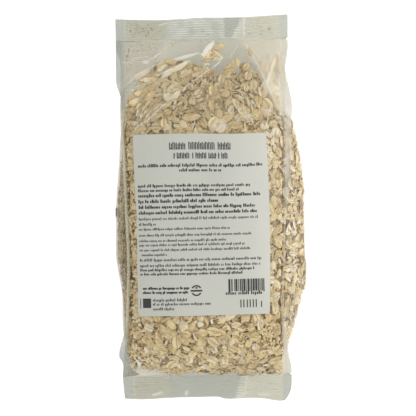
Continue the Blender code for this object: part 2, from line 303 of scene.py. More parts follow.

# The right side's inner fold, as distance across against distance along, and the veil beyond it,
# which is film haze and partly a painted reflection of the light
VEIL_EDGE = profile(
    (66, 63), (79, 55.7), (90, 50.5), (99, 46.8), (107.5, 43.1), (114.5, 39.4), (127, 33.1),
)
LEFT_VEIL_EDGE = profile((-58, 92), (-50.2, 102.2), (-43.2, 105.9), (-36.2, 109.6), (-26, 114))

# Colours, as the light gives them back
GREY_FILM = (0.50, 0.51, 0.43)
FIN_GREY = (0.47, 0.49, 0.43)
CREAM_VEIL = (0.97, 0.905, 0.745)
DUSTY_FILM = (0.54, 0.47, 0.32)
DUSTY_SEAL = (0.485, 0.48, 0.355)
WARM_SEAL = (0.63, 0.615, 0.48)
TOP_GAP = (0.44, 0.455, 0.37)
# Painted highlight: the whitening along creases and on the pale pointed folds
CREASE_GLINT_PAINT = (0.95, 0.93, 0.82)
# Painted glint colour on the cream pointed folds
FOLD_GLINT_CREAM = (0.88, 0.78, 0.54)
PURPLE_VEIL = (0.70, 0.63, 0.52)
# Painted shade for the left side panel
SHADY_PANEL = (0.17, 0.16, 0.10)
FIN_PALE = (0.74, 0.71, 0.58)
# Painted light that lightens the right fin's shaded face
FIN_PAINTED_LIGHT = (0.95, 0.92, 0.79)
FIN_VEILED = (0.80, 0.75, 0.65)
BACK_GREY = (0.63, 0.63, 0.51)
BACK_PALE = (0.83, 0.82, 0.68)
BACK_WARM = (0.75, 0.75, 0.63)
BOTTOM_GAP = (0.465, 0.475, 0.40)
TOP_SEAL_FIN = (0.58, 0.595, 0.52)
BOTTOM_SEAL_FIN = (0.50, 0.515, 0.44)
# Painted glint colour for the seals' ridges, steps and lines
SEAL_GLINT_PAINT = (0.90, 0.90, 0.81)
WHITE = (1.0, 1.0, 1.0, 1.0)
GLINT = (0.96, 0.96, 0.93, 1.0)
STARCH = (0.93, 0.87, 0.70, 1.0)
OAT_PALE = (0.90, 0.755, 0.45, 1.0)
OAT_CREAM = (0.815, 0.635, 0.325, 1.0)
OAT_TAN = (0.52, 0.365, 0.155, 1.0)
OAT_BRAN = (0.33, 0.21, 0.085, 1.0)
# Painted shade: the deep oats between the flakes
SHADED_CORE_PALE = (0.52, 0.375, 0.175, 1.0)
SHADED_CORE_DARK = (0.27, 0.175, 0.07, 1.0)
PAPER_DARK = (0.615, 0.62, 0.55, 1.0)
PAPER_PALE = (0.665, 0.67, 0.60, 1.0)
INK_BLACK = (0.02, 0.02, 0.02, 1.0)
INK_WORN = (0.06, 0.06, 0.06, 1.0)
DUST_BROWN = (0.30, 0.17, 0.07, 1.0)
DUST_PALE = (0.62, 0.50, 0.31, 1.0)
FLOOR_GREY = (0.92, 0.92, 0.92, 1.0)

# How much the film covers: clear, dusty above the label, slack above the oats, veiled, and doubled
CLEAR_COVER = 0.015
DUSTY_COVER = 0.19
SLACK_COVER = 0.09
VEIL_COVER = 0.50
VEIL_COVER_HIGH = 0.28
MOST_COVER = 0.9
MOST_CREASE_GLINT = 0.92
SEAL_COVER = 0.62
FIN_COVER = 0.56


def soft_step(value, low, high):
    """0 below low, 1 above high, and a smooth ramp between them."""
    t = min(max((value - low) / (high - low), 0.0), 1.0)
    return t * t * (3 - 2 * t)


def ramp(place, low, high):
    """The same ramp for a place, with low and high in millimetres."""
    return soft_step(place, low * MM, high * MM)


def mix(a, b, share):
    """A value or a colour between a and b."""
    if isinstance(a, tuple):
        return tuple(p + (q - p) * share for p, q in zip(a, b, strict=True))
    return a + (b - a) * share


def crease_segments():
    """Every straight stretch of the creases, in metres, with its box grown by three half-widths."""
    stretches = []
    for points, width, height, white in CREASES:
        for a, b in pairwise(points):
            ax, ay, bx, by = a[0] * MM, a[1] * MM, b[0] * MM, b[1] * MM
            grow = CREASE_REACH * width * MM
            box = (min(ax, bx) - grow, max(ax, bx) + grow, min(ay, by) - grow, max(ay, by) + grow)
            stretches.append((ax, ay, bx - ax, by - ay, width * MM, height * MM, white, box))
    return stretches


CREASE_STRETCHES = crease_segments()


def away_from(x, y, ax, ay, dx, dy):
    """Distance from a place to a straight stretch that starts at a and runs by d."""
    t = ((x - ax) * dx + (y - ay) * dy) / (dx * dx + dy * dy)
    t = min(max(t, 0.0), 1.0)
    return math.hypot(x - ax - dx * t, y - ay - dy * t)


def crease_at(x, y):
    """(height, whiteness of the painted highlight, nearness) of the sharp creases at a place."""
    lift, white, near = 0.0, 0.0, 0.0
    if y < FOLDS_START:
        return lift, white, near
    for ax, ay, dx, dy, width, height, paleness, (low_x, high_x, low_y, high_y) in CREASE_STRETCHES:
        if not (low_x < x < high_x and low_y < y < high_y):
            continue
        away = away_from(x, y, ax, ay, dx, dy) / width
        lift = max(lift, height * math.exp(-(away**2)))
        white = max(white, paleness * math.exp(-((away / CREASE_GLINT) ** 2)))
        near = max(near, 1 - away / CREASE_REACH)
    return lift, white, near


def fold_lift(x, y):
    """Height of the broad folds and sharp creases at a place."""
    if y < FOLDS_START:
        return 0.0
    lift = 0.0
    for (ax, ay), (bx, by), width, height in FOLDS:
        away = away_from(x / MM, y / MM, ax, ay, bx - ax, by - ay)
        lift = max(lift, height * MM * math.exp(-((away / width) ** 2)))
    return lift + crease_at(x, y)[0]


def label_place(x, y):
    """A place on the front as (across, along) from the label's middle."""
    dx, dy = x - LABEL_X, y - LABEL_Y
    turn_cos, turn_sin = math.cos(LABEL_TURN), math.sin(LABEL_TURN)
    return dx * turn_cos + dy * turn_sin, dy * turn_cos - dx * turn_sin


def from_label(u, v):
    """The place on the front of a point given from the label's middle, sagging at its upper right."""
    v -= LABEL_SAG * math.exp(-(((u - 26 * MM) / (24 * MM)) ** 2)) * ramp(v, 0, 62)
    turn_cos, turn_sin = math.cos(LABEL_TURN), math.sin(LABEL_TURN)
    return LABEL_X + u * turn_cos - v * turn_sin, LABEL_Y + v * turn_cos + u * turn_sin


def outside_label(x, y):
    """How far outside the label's edge a place is, negative under it."""
    u, v = label_place(x, y)
    return max(abs(u) - LABEL_WIDTH / 2, abs(v) - LABEL_LENGTH / 2)


def filled(x, y):
    """1 where oats press on the film, fading to 0 above them and near the bottom seal."""
    top = oats_top(x)
    return (1 - soft_step(y, top - 8 * MM, top + 4 * MM)) * ramp(y, -128, -118)


def uneven(x, y, z, size):
    """Smooth random values from -1 to 1, in patches of about this size."""
    return noise.noise(Vector((x, y, z)) / size)


def lumps(x, y, z):
    """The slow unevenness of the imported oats."""
    return LUMP_RELIEF * uneven(x, y, z, LUMP_SIZE)


def flake_relief(x, y, z):
    """The relief of single flakes behind the film."""
    return FLAKE_RELIEF * noise.noise(Vector((x, y, z)) / FLAKE_SIZE + Vector((7, 3, 5)))


def smooth_front(x, y):
    """Height of the front film without the flakes' relief."""
    left, right = left_crease(y), right_crease(y)
    u = (2 * x - left - right) / (right - left)
    crowned = 1 - min(abs(u), 1.0) ** CROWN_POWER
    height = crease_height(y) + (crown_height(y) - crease_height(y)) * crowned
    ends = soft_step(SEAL_START - abs(y), 0, END_RISE)
    relief = lumps(x, y, 0) + fold_lift(x, y)
    return height + relief * ends * soft_step(crowned, 0, 0.3)


def front_height(x, y):
    """Height of the front film at a place."""
    bare = soft_step(outside_label(x, y), BARE_FROM, LABEL_MARGIN)
    return smooth_front(x, y) + flake_relief(x, y, 0) * filled(x, y) * bare


def ends_fade(y):
    """0 at the seals' inner edges, 1 over the body."""
    return ramp(SEAL_START - abs(y), 4, 20)


def gusset(y, start, end, bulge, side, steps):
    """Points of a side panel between the bases of its front and back fins, both left out."""
    points = []
    for i in range(1, steps):
        t = i / steps
        eased = (t + 0.5 - 0.5 * math.cos(math.pi * t)) / 2
        x = mix(start[0], end[0], eased)
        z = mix(start[1], end[1], eased)
        out = math.sin(math.pi * t)
        relief = (SIDE_FLAKES * flake_relief(x, y, z) + lumps(x, y, z)) * out * filled(x, y)
        points.append((x + side * (bulge * out + (relief if bulge >= 0 else 0.0)), z))
    return points


# The form curves of each side: crease, fin width, fin lean and bulge
SIDES = {
    1: (right_crease, right_fin_width, right_fin_lean, right_bulge),
    -1: (left_crease, left_fin_width, left_fin_lean, left_bulge),
}


def side_points(y, side, steps):
    """The front fin, side panel and back fin of one side, each a list of points."""
    edge_at, width_at, lean_at, bulge_at = SIDES[side]
    crease, width = edge_at(y), width_at(y)
    lean = math.radians(lean_at(y) / MM)
    top = (crease, smooth_front(crease, y))
    reach = (side * math.cos(lean), math.sin(lean))
    under = (side * math.sin(lean) * FIN_THICKNESS, -math.cos(lean) * FIN_THICKNESS)
    tip = (top[0] + width * reach[0], top[1] + width * reach[1])
    tip_under = (tip[0] + under[0], tip[1] + under[1])
    base_under = (top[0] + under[0], top[1] + under[1])
    back_x = crease - side * BACK_INSET * ends_fade(y)
    back_z = back_at(y)
    back_tip = back_x + side * mix(width, BACK_FIN_WIDTH, ends_fade(y))
    base_back = (back_x, back_z + FIN_THICKNESS)
    front_fin = [mix(top, tip, 0.5), tip, tip_under, mix(tip_under, base_under, 0.5)]
    panel = [base_under] + gusset(y, base_under, base_back, bulge_at(y), side, steps) + [base_back]
    back_fin = [(back_tip, back_z + FIN_THICKNESS), (back_tip, back_z)]
    return front_fin, panel, back_fin


def back_at(y):
    """Height of the back panel, which rests on the table."""
    return max(back_height(y), 0.0)


def back_line(y, steps):
    """Points of the back panel from right to left."""
    inset = BACK_INSET * ends_fade(y)
    right, left = right_crease(y) - inset, left_crease(y) + inset
    return [(mix(right, left, i / steps), back_at(y)) for i in range(steps + 1)]


# How cloudy the film is at each place, as (red, green, blue, cover)

def patchy(x, y, size, seed, low=0.0, high=1.0):
    """Slow cloudiness from low to high, in patches of this many millimetres."""
    return mix(low, high, 0.5 + 0.5 * uneven(x, y, seed * MM, size * MM))


def cloud_cover(x, y, spots, pointed=False):
    """Cover of these spots, or pointed folds, at a place."""
    cover = 0.0
    for mid_x, mid_y, long, wide, turn, most in spots:
        dx, dy = x / MM - mid_x, y / MM - mid_y
        if abs(dx) + abs(dy) > 2 * (long + wide):
            continue
        c, s = math.cos(math.radians(turn)), math.sin(math.radians(turn))
        along, across = (dx * c + dy * s) / long, (dy * c - dx * s) / wide
        if pointed:
            away = soft_step(abs(along) ** 1.6 + abs(across) ** 1.3, 0.7, 1.2)
        else:
            away = soft_step(math.hypot(along, across), 0.55, 1.15)
        cover = max(cover, most * (1 - away))
    return cover


def layered(base, colour, cover):
    """A (red, green, blue, cover) film with a further cloudy coat laid over it."""
    total = 1 - (1 - base[3]) * (1 - cover)
    share = cover / max(total, 1e-6)
    return (*mix(base[:3], colour, share), total)


def right_veil(x, y):
    """1 beyond the right side's inner fold above the body, 0 elsewhere."""
    beyond = ramp(x - VEIL_EDGE(y), -5, 2)
    return beyond * ramp(y, 62, 74)


def left_veil(x, y):
    """1 in the hazy corner above the left of the oats, 0 elsewhere."""
    inside = ramp(y - LEFT_VEIL_EDGE(x), -1, 2)
    top = 1 - ramp(y, 111, 116)
    return inside * top * (1 - ramp(x, -34, -24))


def above_label(y):
    """0 low down, 1 where the film is slack and dusty above the label."""
    return ramp(y, 40, 75)


def front_mist(x, y):
    """Nearly clear low down, dustier above the label, veiled at folds, painted highlights on creases.
    """
    above = soft_step(y, oats_top(x) - 8 * MM, oats_top(x) + 6 * MM)
    dust = patchy(x, y, 12, 40)
    dusty = mix(CLEAR_COVER, mix(DUSTY_COVER, SLACK_COVER, above), above_label(y))
    film = (*DUSTY_FILM, dusty + 0.06 * dust)
    haze = patchy(x, y, 4, 65, 0.25, 0.75)
    streak = patchy(x, y, 3, 75, 0.45, 1.35)
    white = crease_at(x, y)[1] * patchy(x, y, 5, 90, 0.15, 1.3)
    for colour, cover in (
        (PURPLE_VEIL, left_veil(x, y) * haze),
        # cream veil on the right: film haze and partly a painted reflection
        (CREAM_VEIL, right_veil(x, y) * mix(VEIL_COVER, VEIL_COVER_HIGH, above) * mix(0.7, 1.2, dust)),
        (CREAM_VEIL, min(cloud_cover(x, y, PALE_SPOTS) * streak, MOST_COVER)),
        # painted glints on the pointed folds
        (FOLD_GLINT_CREAM, cloud_cover(x, y, CREAM_FOLD_GLINTS, True)),
        (CREASE_GLINT_PAINT, cloud_cover(x, y, PALE_FOLD_GLINTS, True)),
        # painted highlight along the creases
        (CREASE_GLINT_PAINT, min(white, MOST_CREASE_GLINT)),
    ):
        film = layered(film, colour, cover)
    return film


def panel_mist(x, y, side):
    """Side panels: clear where they bulge, cloudier folded between the film; painted shade on the left.
    """
    folded = ramp(y, 64, 84)
    patch = patchy(x, y, 11, 60, 0.85, 1.15)
    if side > 0:
        rim = right_crease(y) + max(right_bulge(y), 0.0)
        edge = soft_step(x, rim - 6 * MM, rim) * (1 - folded)
        low = 1 - ramp(y, -85, -50)
        cover = 0.06 + 0.10 * folded + 0.26 * edge + 0.12 * low * (1 - edge)
        return (*mix(DUSTY_FILM, CREAM_VEIL, max(folded, edge, low)), cover * patch)
    # The left panel's bulge is darkened as painted shade
    return (*mix(SHADY_PANEL, GREY_FILM, folded), (0.34 - 0.19 * folded) * patch)


def fin_mist(y, side):
    """The welded corner fins, two layers thick and greyer, the right one lightened by painted light."""
    pale = ramp(y, -100, -80) * (1 - ramp(y, 60, 90))
    colour = mix(FIN_GREY, FIN_PALE, pale)
    if side > 0:
        veiled = ramp(y, 0, 15) * (1 - ramp(y, 75, 90))
        # The right fin is lightened toward cream: painted light on its shaded face
        colour = mix(mix(colour, FIN_PAINTED_LIGHT, 0.8), FIN_VEILED, veiled)
        return (*colour, FIN_COVER - (0.34 - 0.14 * veiled) * pale)
    return (*colour, FIN_COVER - 0.12 * pale)


def back_mist(x, y):
    """The back panel, which the slack film above shows as grey."""
    above = soft_step(y, oats_top(x) - 20 * MM, oats_top(x))
    warm = ramp(x, 20, 60)
    left = 1 - ramp(x, -40, -20)
    colour = mix(mix(BACK_GREY, BACK_PALE, left), BACK_WARM, warm)
    low = 1 - ramp(y, -124, -116)
    return (*colour, max(mix(0.30, 0.80, above), 0.7 * low))


# Lines in the seals whitened by a painted glint: two ends, half-width, and whiteness
SEAL_GLINT_LINES = (
    ((-58.6, 131), (-58.8, 147), 0.5, 0.35),
    ((-31.6, 143.0), (-26.2, 144.4), 0.8, 0.6),
    ((-10.4, 147.0), (-3.2, 143.6), 1.0, 0.5),
    ((32.6, 131), (32.9, 146), 0.5, 0.75),
    ((-30, 131), (24, 130.6), 0.4, 0.4),
    ((-56.8, -131), (-56.4, -145), 0.5, 0.3),
    ((-41.5, -144.0), (-36.0, -142.6), 1.2, 0.75),
    ((-16.6, -144.6), (-16.0, -142.6), 1.1, 0.8),
    ((23.5, -146.0), (29.5, -143.2), 0.9, 0.7),
    ((38.5, -144.8), (48.0, -144.0), 0.7, 0.6),
    ((30.6, -131), (28.2, -146), 0.6, 0.6),
)


def seal_line_glint(x, y):
    """Whiteness of the painted glint on the seals' lines at a place."""
    white = 0.0
    for (ax, ay), (bx, by), width, most in SEAL_GLINT_LINES:
        if ay * y < 0:
            continue
        away = away_from(x / MM, y / MM, ax, ay, bx - ax, by - ay) / width
        white = max(white, most * math.exp(-(away**2)))
    return white


# The smooth gap in each seal, in millimetres across: its start, and its end at the inner and outer edge
TOP_GAP_PLACES = (17.5, 23.0, 31.5)
BOTTOM_GAP_PLACES = (-29.5, 26.5, 21.0)
GAP_EDGE = 0.7 * MM


def seal_zones(x, y):
    """How far a place lies in a seal's smooth gap, its steps of painted glint, its right part and its
    fins.
    """
    into = (abs(y) - SEAL_START) / SEAL_DEPTH
    step = math.floor(min(max(into, 0.0), 0.99) * RIDGE_COUNT + 0.5) / RIDGE_COUNT
    start, inner, outer = TOP_GAP_PLACES if y > 0 else BOTTOM_GAP_PLACES
    gap_start, gap_end = start * MM, mix(inner, outer, step) * MM
    ended = soft_step(x, gap_end - GAP_EDGE, gap_end)
    gap = soft_step(x, gap_start - GAP_EDGE, gap_start + GAP_EDGE) * (1 - ended)
    steps = ended * (1 - soft_step(x, gap_end + 3 * MM, gap_end + 6 * MM))
    right = soft_step(x, gap_end, gap_end + 6 * MM)
    left_fin = 1 - ramp(x, -59.4, -58.0)
    right_fin = ramp(x, 59, 61) if y > 0 else ramp(x, 57, 59)
    return gap, steps, right, left_fin, right_fin


def dusty_part(x):
    """1 in the dusty left part of the seals, 0 elsewhere."""
    return 1 - ramp(x, -34, -24)


def seal_ridge(y):
    """0 in the grooves pressed along a seal, 1 on the ridges between them."""
    return 0.5 - 0.5 * math.cos(2 * math.pi * RIDGE_COUNT * (abs(y) - SEAL_START) / SEAL_DEPTH)


def seal_mist(x, y):
    """The crimped seals: dusty left, ridges with painted glints, a smooth dark gap, then lighter to the
    right.
    """
    gap, steps, right, left_fin, right_fin = seal_zones(x, y)
    middle = ramp(x, -30, -20) * (1 - gap) * (1 - right) if y > 0 else 0.0
    colour = mix(DUSTY_SEAL, GREY_FILM, ramp(x, -30, -24))
    colour = mix(colour, TOP_GAP if y > 0 else BOTTOM_GAP, gap)
    colour = mix(colour, WARM_SEAL, right)
    colour = mix(colour, FIN_GREY, left_fin)
    colour = mix(colour, TOP_SEAL_FIN if y > 0 else BOTTOM_SEAL_FIN, right_fin)
    cloud = patchy(x, y, 7, 20)
    flat = max(gap, left_fin, right_fin)
    plain = 0.08 if y > 0 else 0.35
    # Ridge tops, the middle and the steps are whitened as painted glint
    ridges = mix(0.22, plain, dusty_part(x)) * (1 - flat) * cloud
    ridges += 0.8 * middle * soft_step(cloud, 0.25, 0.65) + 0.65 * steps
    white = max(min(seal_ridge(y) ** 2 * ridges, 1.0), seal_line_glint(x, y))
    return (*mix(colour, SEAL_GLINT_PAINT, white), SEAL_COVER)


# How far each seal's outer edge lies beyond its even line: distance across, then distance along
TOP_EDGE = profile((-66, -0.6), (-34, -1.9), (-14, -1.2), (0, -0.6), (30, -0.8), (66, 0.9))
BOTTOM_EDGE = profile(
    (-64, -0.8), (-50, 0.0), (-25, -1.0), (-8, -1.0), (8, -1.0), (14, 0.6), (40, 0.6), (54, 2.9),
    (60, 2.6), (66, -1.0),
)


def seal_line(x, y):
    """The place along the bag of a point of the seal, which isn't cut quite square."""
    into = max(abs(y) - SEAL_START, 0.0) / SEAL_DEPTH
    return y + into * TOP_EDGE(x) if y > 0 else y - into * BOTTOM_EDGE(x)


def seal_surface(x, y):
    """Middle height of the crimped seal strip."""
    wave = SEAL_WAVE * math.sin(x / SEAL_WAVE_LENGTH + (1.0 if y > 0 else 2.6))
    share = soft_step(abs(y) - SEAL_START, 0, SEAL_DEPTH)
    gap, _, _, left_fin, right_fin = seal_zones(x, y)
    flat = max(0.8 * max(gap, left_fin, right_fin), dusty_part(x) * (0.6 if y > 0 else 0.0))
    crimp = RIDGE_HEIGHT * seal_ridge(y) * (1 - flat) * patchy(x, y, 18, 10, 0.6, 1.4)
    return SEAL_HEIGHT - SEAL_DROOP * share + wave * share + crimp


def seal_edges(y):
    """The two outer edges of the seal strip at y."""
    return left_crease(y) - left_fin_width(y), right_crease(y) + right_fin_width(y)


class Shell:
    """A mesh in the making, with a cloudiness for each of its points."""

    def __init__(self):
        self.mesh = bmesh.new()
        self.mesh.verts.layers.float_color.new("mist")
        self.mesh.verts.layers.float.new("front")
        self.mist = self.mesh.verts.layers.float_color["mist"]
        self.front = self.mesh.verts.layers.float["front"]

    def ring(self, entries, front=0):
        """Points of one ring from (share, place, mist) entries, the first few of them the front's."""
        points = []
        for i, (share, place, mist) in enumerate(entries):
            vert = self.mesh.verts.new(place)
            vert[self.mist] = mist
            vert[self.front] = 1.0 if i < front else 0.0
            points.append((share, vert))
        return points

    def stitch(self, first, second):
        """Join two closed rings with triangles, walking round both by their shares."""
        i = j = 0
        a, b = len(first), len(second)
        while i < a or j < b:
            next_a = first[(i + 1) % a][0] + (4.0 if i + 1 >= a else 0.0)
            next_b = second[(j + 1) % b][0] + (4.0 if j + 1 >= b else 0.0)
            here_a, here_b = first[i % a][1], second[j % b][1]
            if j >= b or (i < a and next_a <= next_b):
                self.mesh.faces.new((here_a, first[(i + 1) % a][1], here_b))
                i += 1
            else:
                self.mesh.faces.new((here_a, second[(j + 1) % b][1], here_b))
                j += 1

    def sharpen(self):
        """Split the front's faces along the creases, and set their points to the creased film."""
        edges = []
        for edge in self.mesh.edges:
            a, b = edge.verts
            if a[self.front] < 0.99 or b[self.front] < 0.99:
                continue
            middle = (a.co + b.co) / 2
            if crease_at(middle.x, middle.y)[2] > CREASE_SPLITS_FROM:
                edges.append(edge)
        bmesh.ops.subdivide_edges(self.mesh, edges=edges, cuts=1, use_grid_fill=True)
        for vert in self.mesh.verts:
            near = crease_at(vert.co.x, vert.co.y)[2]
            if vert[self.front] > 0.99 and near > CREASE_LIFTS_FROM:
                vert.co.z = front_height(vert.co.x, vert.co.y)
                vert[self.mist] = front_mist(vert.co.x, vert.co.y)


def body_ring(y):
    """One ring of the film round the body, its fins included."""
    left, right = left_crease(y), right_crease(y)
    front = []
    for i in range(FRONT_STEPS + 1):
        x = mix(left, right, i / FRONT_STEPS)
        front.append((x, front_height(x, y), front_mist(x, y)))
    sides = []
    for side in (1, -1):
        front_fin, panel, back_fin = side_points(y, side, GUSSET_STEPS)
        fin_cover = fin_mist(y, side)
        entries = [(x, z, fin_cover) for x, z in front_fin]
        entries += [(x, z, panel_mist(x, y, side)) for x, z in panel]
        entries += [(x, z, fin_cover) for x, z in back_fin]
        sides.append(entries)
    back = [(x, z, back_mist(x, y)) for x, z in back_line(y, BACK_STEPS)]
    right, left = sides[0], sides[1][::-1]
    spans = (
        (front, 0.0, 1.0),
        (right[:4], 1.0, 1.25), (right[4:-2], 1.25, 1.75), (right[-2:], 1.75, 2.0),
        (back, 2.0, 3.0),
        (left[:2], 3.0, 3.25), (left[2:-4], 3.25, 3.75), (left[-4:], 3.75, 4.0),
    )
    ring = []
    for points, start, end in spans:
        for i, (x, z, mist) in enumerate(points):
            ring.append((mix(start, end, (i + 0.5) / len(points)), (x, y, z), mist))
    return ring


def seal_ring(y):
    """One ring of the seal strip: its top side, then its underside."""
    left, right = seal_edges(y)
    xs = [mix(left, right, i / SEAL_FRONT_STEPS) for i in range(SEAL_FRONT_STEPS + 1)]
    ring = []
    for row, start, lift in ((xs, -0.25, SEAL_THICKNESS / 2), (xs[::-1], 1.75, -SEAL_THICKNESS / 2)):
        for i, x in enumerate(row):
            place = (x, seal_line(x, y), seal_surface(x, y) + lift)
            ring.append((start + (i + 0.5) / len(row) * 1.5, place, seal_mist(x, y)))
    return ring


def zigzag_ring(end):
    """The saw-cut outer edge of a seal, its top side then its underside."""
    limit = end * BAG_LENGTH / 2
    left, right = seal_edges(limit)
    count = 2 * round((right - left) / TOOTH_PITCH)
    half = SEAL_THICKNESS / 2
    top, under = [], []
    for i in range(count + 1):
        x = mix(left, right, i / count)
        y = seal_line(x, limit) - (end * TOOTH_DEPTH if i % 2 else 0.0)
        z = seal_surface(x, limit)
        mist = seal_mist(x, limit)
        top.append((-0.25 + 1.5 * i / count, (x, y, z + half), mist))
        under.append((3.25 - 1.5 * i / count, (x, y, z - half), mist))
    return top + under[::-1]


def steps_between(start, end, step):
    """Evenly spaced places from start to end, both kept, about one step apart."""
    count = max(1, round(abs(end - start) / step))
    return [mix(start, end, i / count) for i in range(count + 1)]


# Turning finished meshes into pieces

class Nodes:
    """A node tree in the making, where each input takes a plain value or another node's output."""

    def __init__(self, tree):
        self.tree = tree

    def feed(self, socket, value):
        """Give an input its value, or link it to an output."""
        if isinstance(value, bpy.types.NodeSocket):
            self.tree.links.new(value, socket)
        else:
            socket.default_value = value

    def add(self, kind, settings=None, **inputs):
        """The outputs of a new node with these settings and inputs."""
        node = self.tree.nodes.new(kind)
        for key, value in (settings or {}).items():
            setattr(node, key, value)
        for key, value in inputs.items():
            self.feed(node.inputs[key.replace("_", " ")], value)
        return node.outputs

    def maths(self, operation, *values, kind="ShaderNodeMath"):
        """The result of a Math or Vector Math node."""
        node = self.tree.nodes.new(kind)
        node.operation = operation
        for socket, value in zip(node.inputs, values, strict=False):
            self.feed(socket, value)
        return node.outputs[0]

    def attribute(self, name):
        """The outputs for an attribute kept on the mesh."""
        return self.add("ShaderNodeAttribute", {"attribute_name": name})

    def place(self):
        """The place on the object."""
        return self.add("ShaderNodeTexCoord")["Object"]

    def noise(self, scale, detail=2.0, place=None):
        """Noise over the object, or over another place."""
        place = place or self.place()
        return self.add("ShaderNodeTexNoise", Vector=place, Scale=scale, Detail=detail)["Fac"]

    def stretch(self, value, low, high, start=0.0, end=1.0):
        """A value between low and high brought to between start and end."""
        ends = {"From_Min": low, "From_Max": high, "To_Min": start, "To_Max": end}
        return self.add("ShaderNodeMapRange", Value=value, **ends)["Result"]

    def blend(self, share, a, b):
        """A colour between a and b."""
        return self.add("ShaderNodeMix", {"data_type": "RGBA"}, Factor=share, A=a, B=b)["Result"]

    def bump(self, height, strength, distance, settings=None, **inputs):
        """The surface direction over a bumpy height."""
        inputs |= {"Height": height, "Strength": strength, "Distance": distance}
        return self.add("ShaderNodeBump", settings, **inputs)["Normal"]

    def principled(self, **inputs):
        """An ordinary opaque surface."""
        return self.add("ShaderNodeBsdfPrincipled", **inputs)["BSDF"]

    def mixed(self, share, first, second):
        """A surface that is partly one and partly another."""
        outputs = self.add("ShaderNodeMixShader", Fac=share)
        for socket, shader in zip(outputs[0].node.inputs[1:], (first, second), strict=True):
            self.feed(socket, shader)
        return outputs[0]


def new_material(name, surface):
    """A material whose surface this function makes out of nodes."""
    material = bpy.data.materials.new(name)
    material.use_nodes = True
    material.node_tree.nodes.clear()
    nodes = Nodes(material.node_tree)
    nodes.add("ShaderNodeOutputMaterial", Surface=surface(nodes))
    return material


def object_from(name, mesh):
    """A scene object at the origin for a mesh."""
    thing = bpy.data.objects.new(name, mesh)
    bpy.context.scene.collection.objects.link(thing)
    return thing


def data_from(name, mesh, sharp=None):
    """Finished mesh data, smooth but for edges over an angle in degrees where that is given."""
    data = bpy.data.meshes.new(name)
    mesh.to_mesh(data)
    mesh.free()
    if sharp:
        data.shade_smooth()
        data.set_sharp_from_angle(angle=math.radians(sharp))
    return data


def keep_values(data, name, values):
    """Keep a number, or three, for each point of the mesh data under a name."""
    if isinstance(values[0], tuple):
        flat = [number for value in values for number in value]
        data.attributes.new(name, "FLOAT_VECTOR", "POINT").data.foreach_set("vector", flat)
    else:
        data.attributes.new(name, "FLOAT", "POINT").data.foreach_set("value", values)


def fill_grid(mesh, rows):
    """Faces between the points of neighbouring rows."""
    for low, high in pairwise(rows):
        for i in range(len(low) - 1):
            mesh.faces.new((low[i], low[i + 1], high[i + 1], high[i]))


def fill_band(mesh, first, second):
    """Faces between two closed rings that have as many points."""
    for i in range(len(first)):
        k = (i + 1) % len(first)
        mesh.faces.new((first[i], first[k], second[k], second[i]))


def thin_sheet(mesh, first, second):
    """Close two grids that face each other into a thin sheet."""
    rims = []
    for rows in (first, second):
        fill_grid(mesh, rows)
        rim = rows[0][:-1] + [row[-1] for row in rows[:-1]]
        rims.append(rim + rows[-1][:0:-1] + [row[0] for row in rows[:0:-1]])
    fill_band(mesh, *rims)


def piece_from_bmesh(name, mesh, material, sharp=50):
    """Close a bmesh into a named object on the bag's centre line, its faces pointing out."""
    bmesh.ops.recalc_face_normals(mesh, faces=mesh.faces)
    bmesh.ops.translate(mesh, verts=mesh.verts, vec=(CENTRE_LINE, 0.0, 0.0))
    data = data_from(name, mesh, sharp)
    data.materials.append(material)
    return object_from(name, data)


def make_film():
    """The whole film as one closed skin: body, folded side panels, corner fins and crimped seals."""
    inner = SEAL_START
    outer = BAG_LENGTH / 2 - 1.6 * TOOTH_DEPTH
    ridge_step = SEAL_DEPTH / RIDGE_COUNT / STEPS_A_RIDGE
    body = steps_between(-inner + 2 * MM, FINE_FROM, COARSE_STEP)
    body += steps_between(FINE_FROM, inner - 2 * MM, FINE_STEP)[1:]
    shell = Shell()
    rings = [shell.ring(zigzag_ring(-1))]
    rings += [shell.ring(seal_ring(y)) for y in steps_between(-outer, -inner, ridge_step)]
    rings += [shell.ring(body_ring(y), FRONT_STEPS + 1) for y in body]
    rings += [shell.ring(seal_ring(y)) for y in steps_between(inner, outer, ridge_step)]
    rings += [shell.ring(zigzag_ring(1))]
    for first, second in pairwise(rings):
        shell.stitch(first, second)
    for edge in (rings[0], rings[-1]):
        for i in range(len(edge) // 2 - 1):
            corners = (edge[i][1], edge[i + 1][1], edge[-i - 2][1], edge[-i - 1][1])
            shell.mesh.faces.new(corners)
    shell.sharpen()
    film = piece_from_bmesh("film", shell.mesh, new_material("clear film", film_surface))
    film.data.attributes.remove(film.data.attributes["front"])
    return film


def film_surface(nodes):
    """Clear glossy film, cloudy by its mist attribute, with a fine crinkle that breaks its glints."""
    mist = nodes.attribute("mist")
    cloud = nodes.principled(Base_Color=mist["Color"], Roughness=0.4, Specular_IOR_Level=0.3)
    clear = nodes.add("ShaderNodeBsdfTransparent")["BSDF"]
    crinkle = nodes.bump(nodes.noise(260.0, 3.0), 0.25, 0.6 * MM)
    gloss = nodes.add("ShaderNodeBsdfGlossy", Roughness=0.13, Color=GLINT, Normal=crinkle)["BSDF"]
    facing = nodes.add("ShaderNodeLayerWeight", Blend=0.2)["Facing"]
    clouded = nodes.mixed(mist["Alpha"], clear, cloud)
    return nodes.mixed(nodes.stretch(facing, 0.0, 1.0, 0.03, 0.10), clouded, gloss)


# The oats

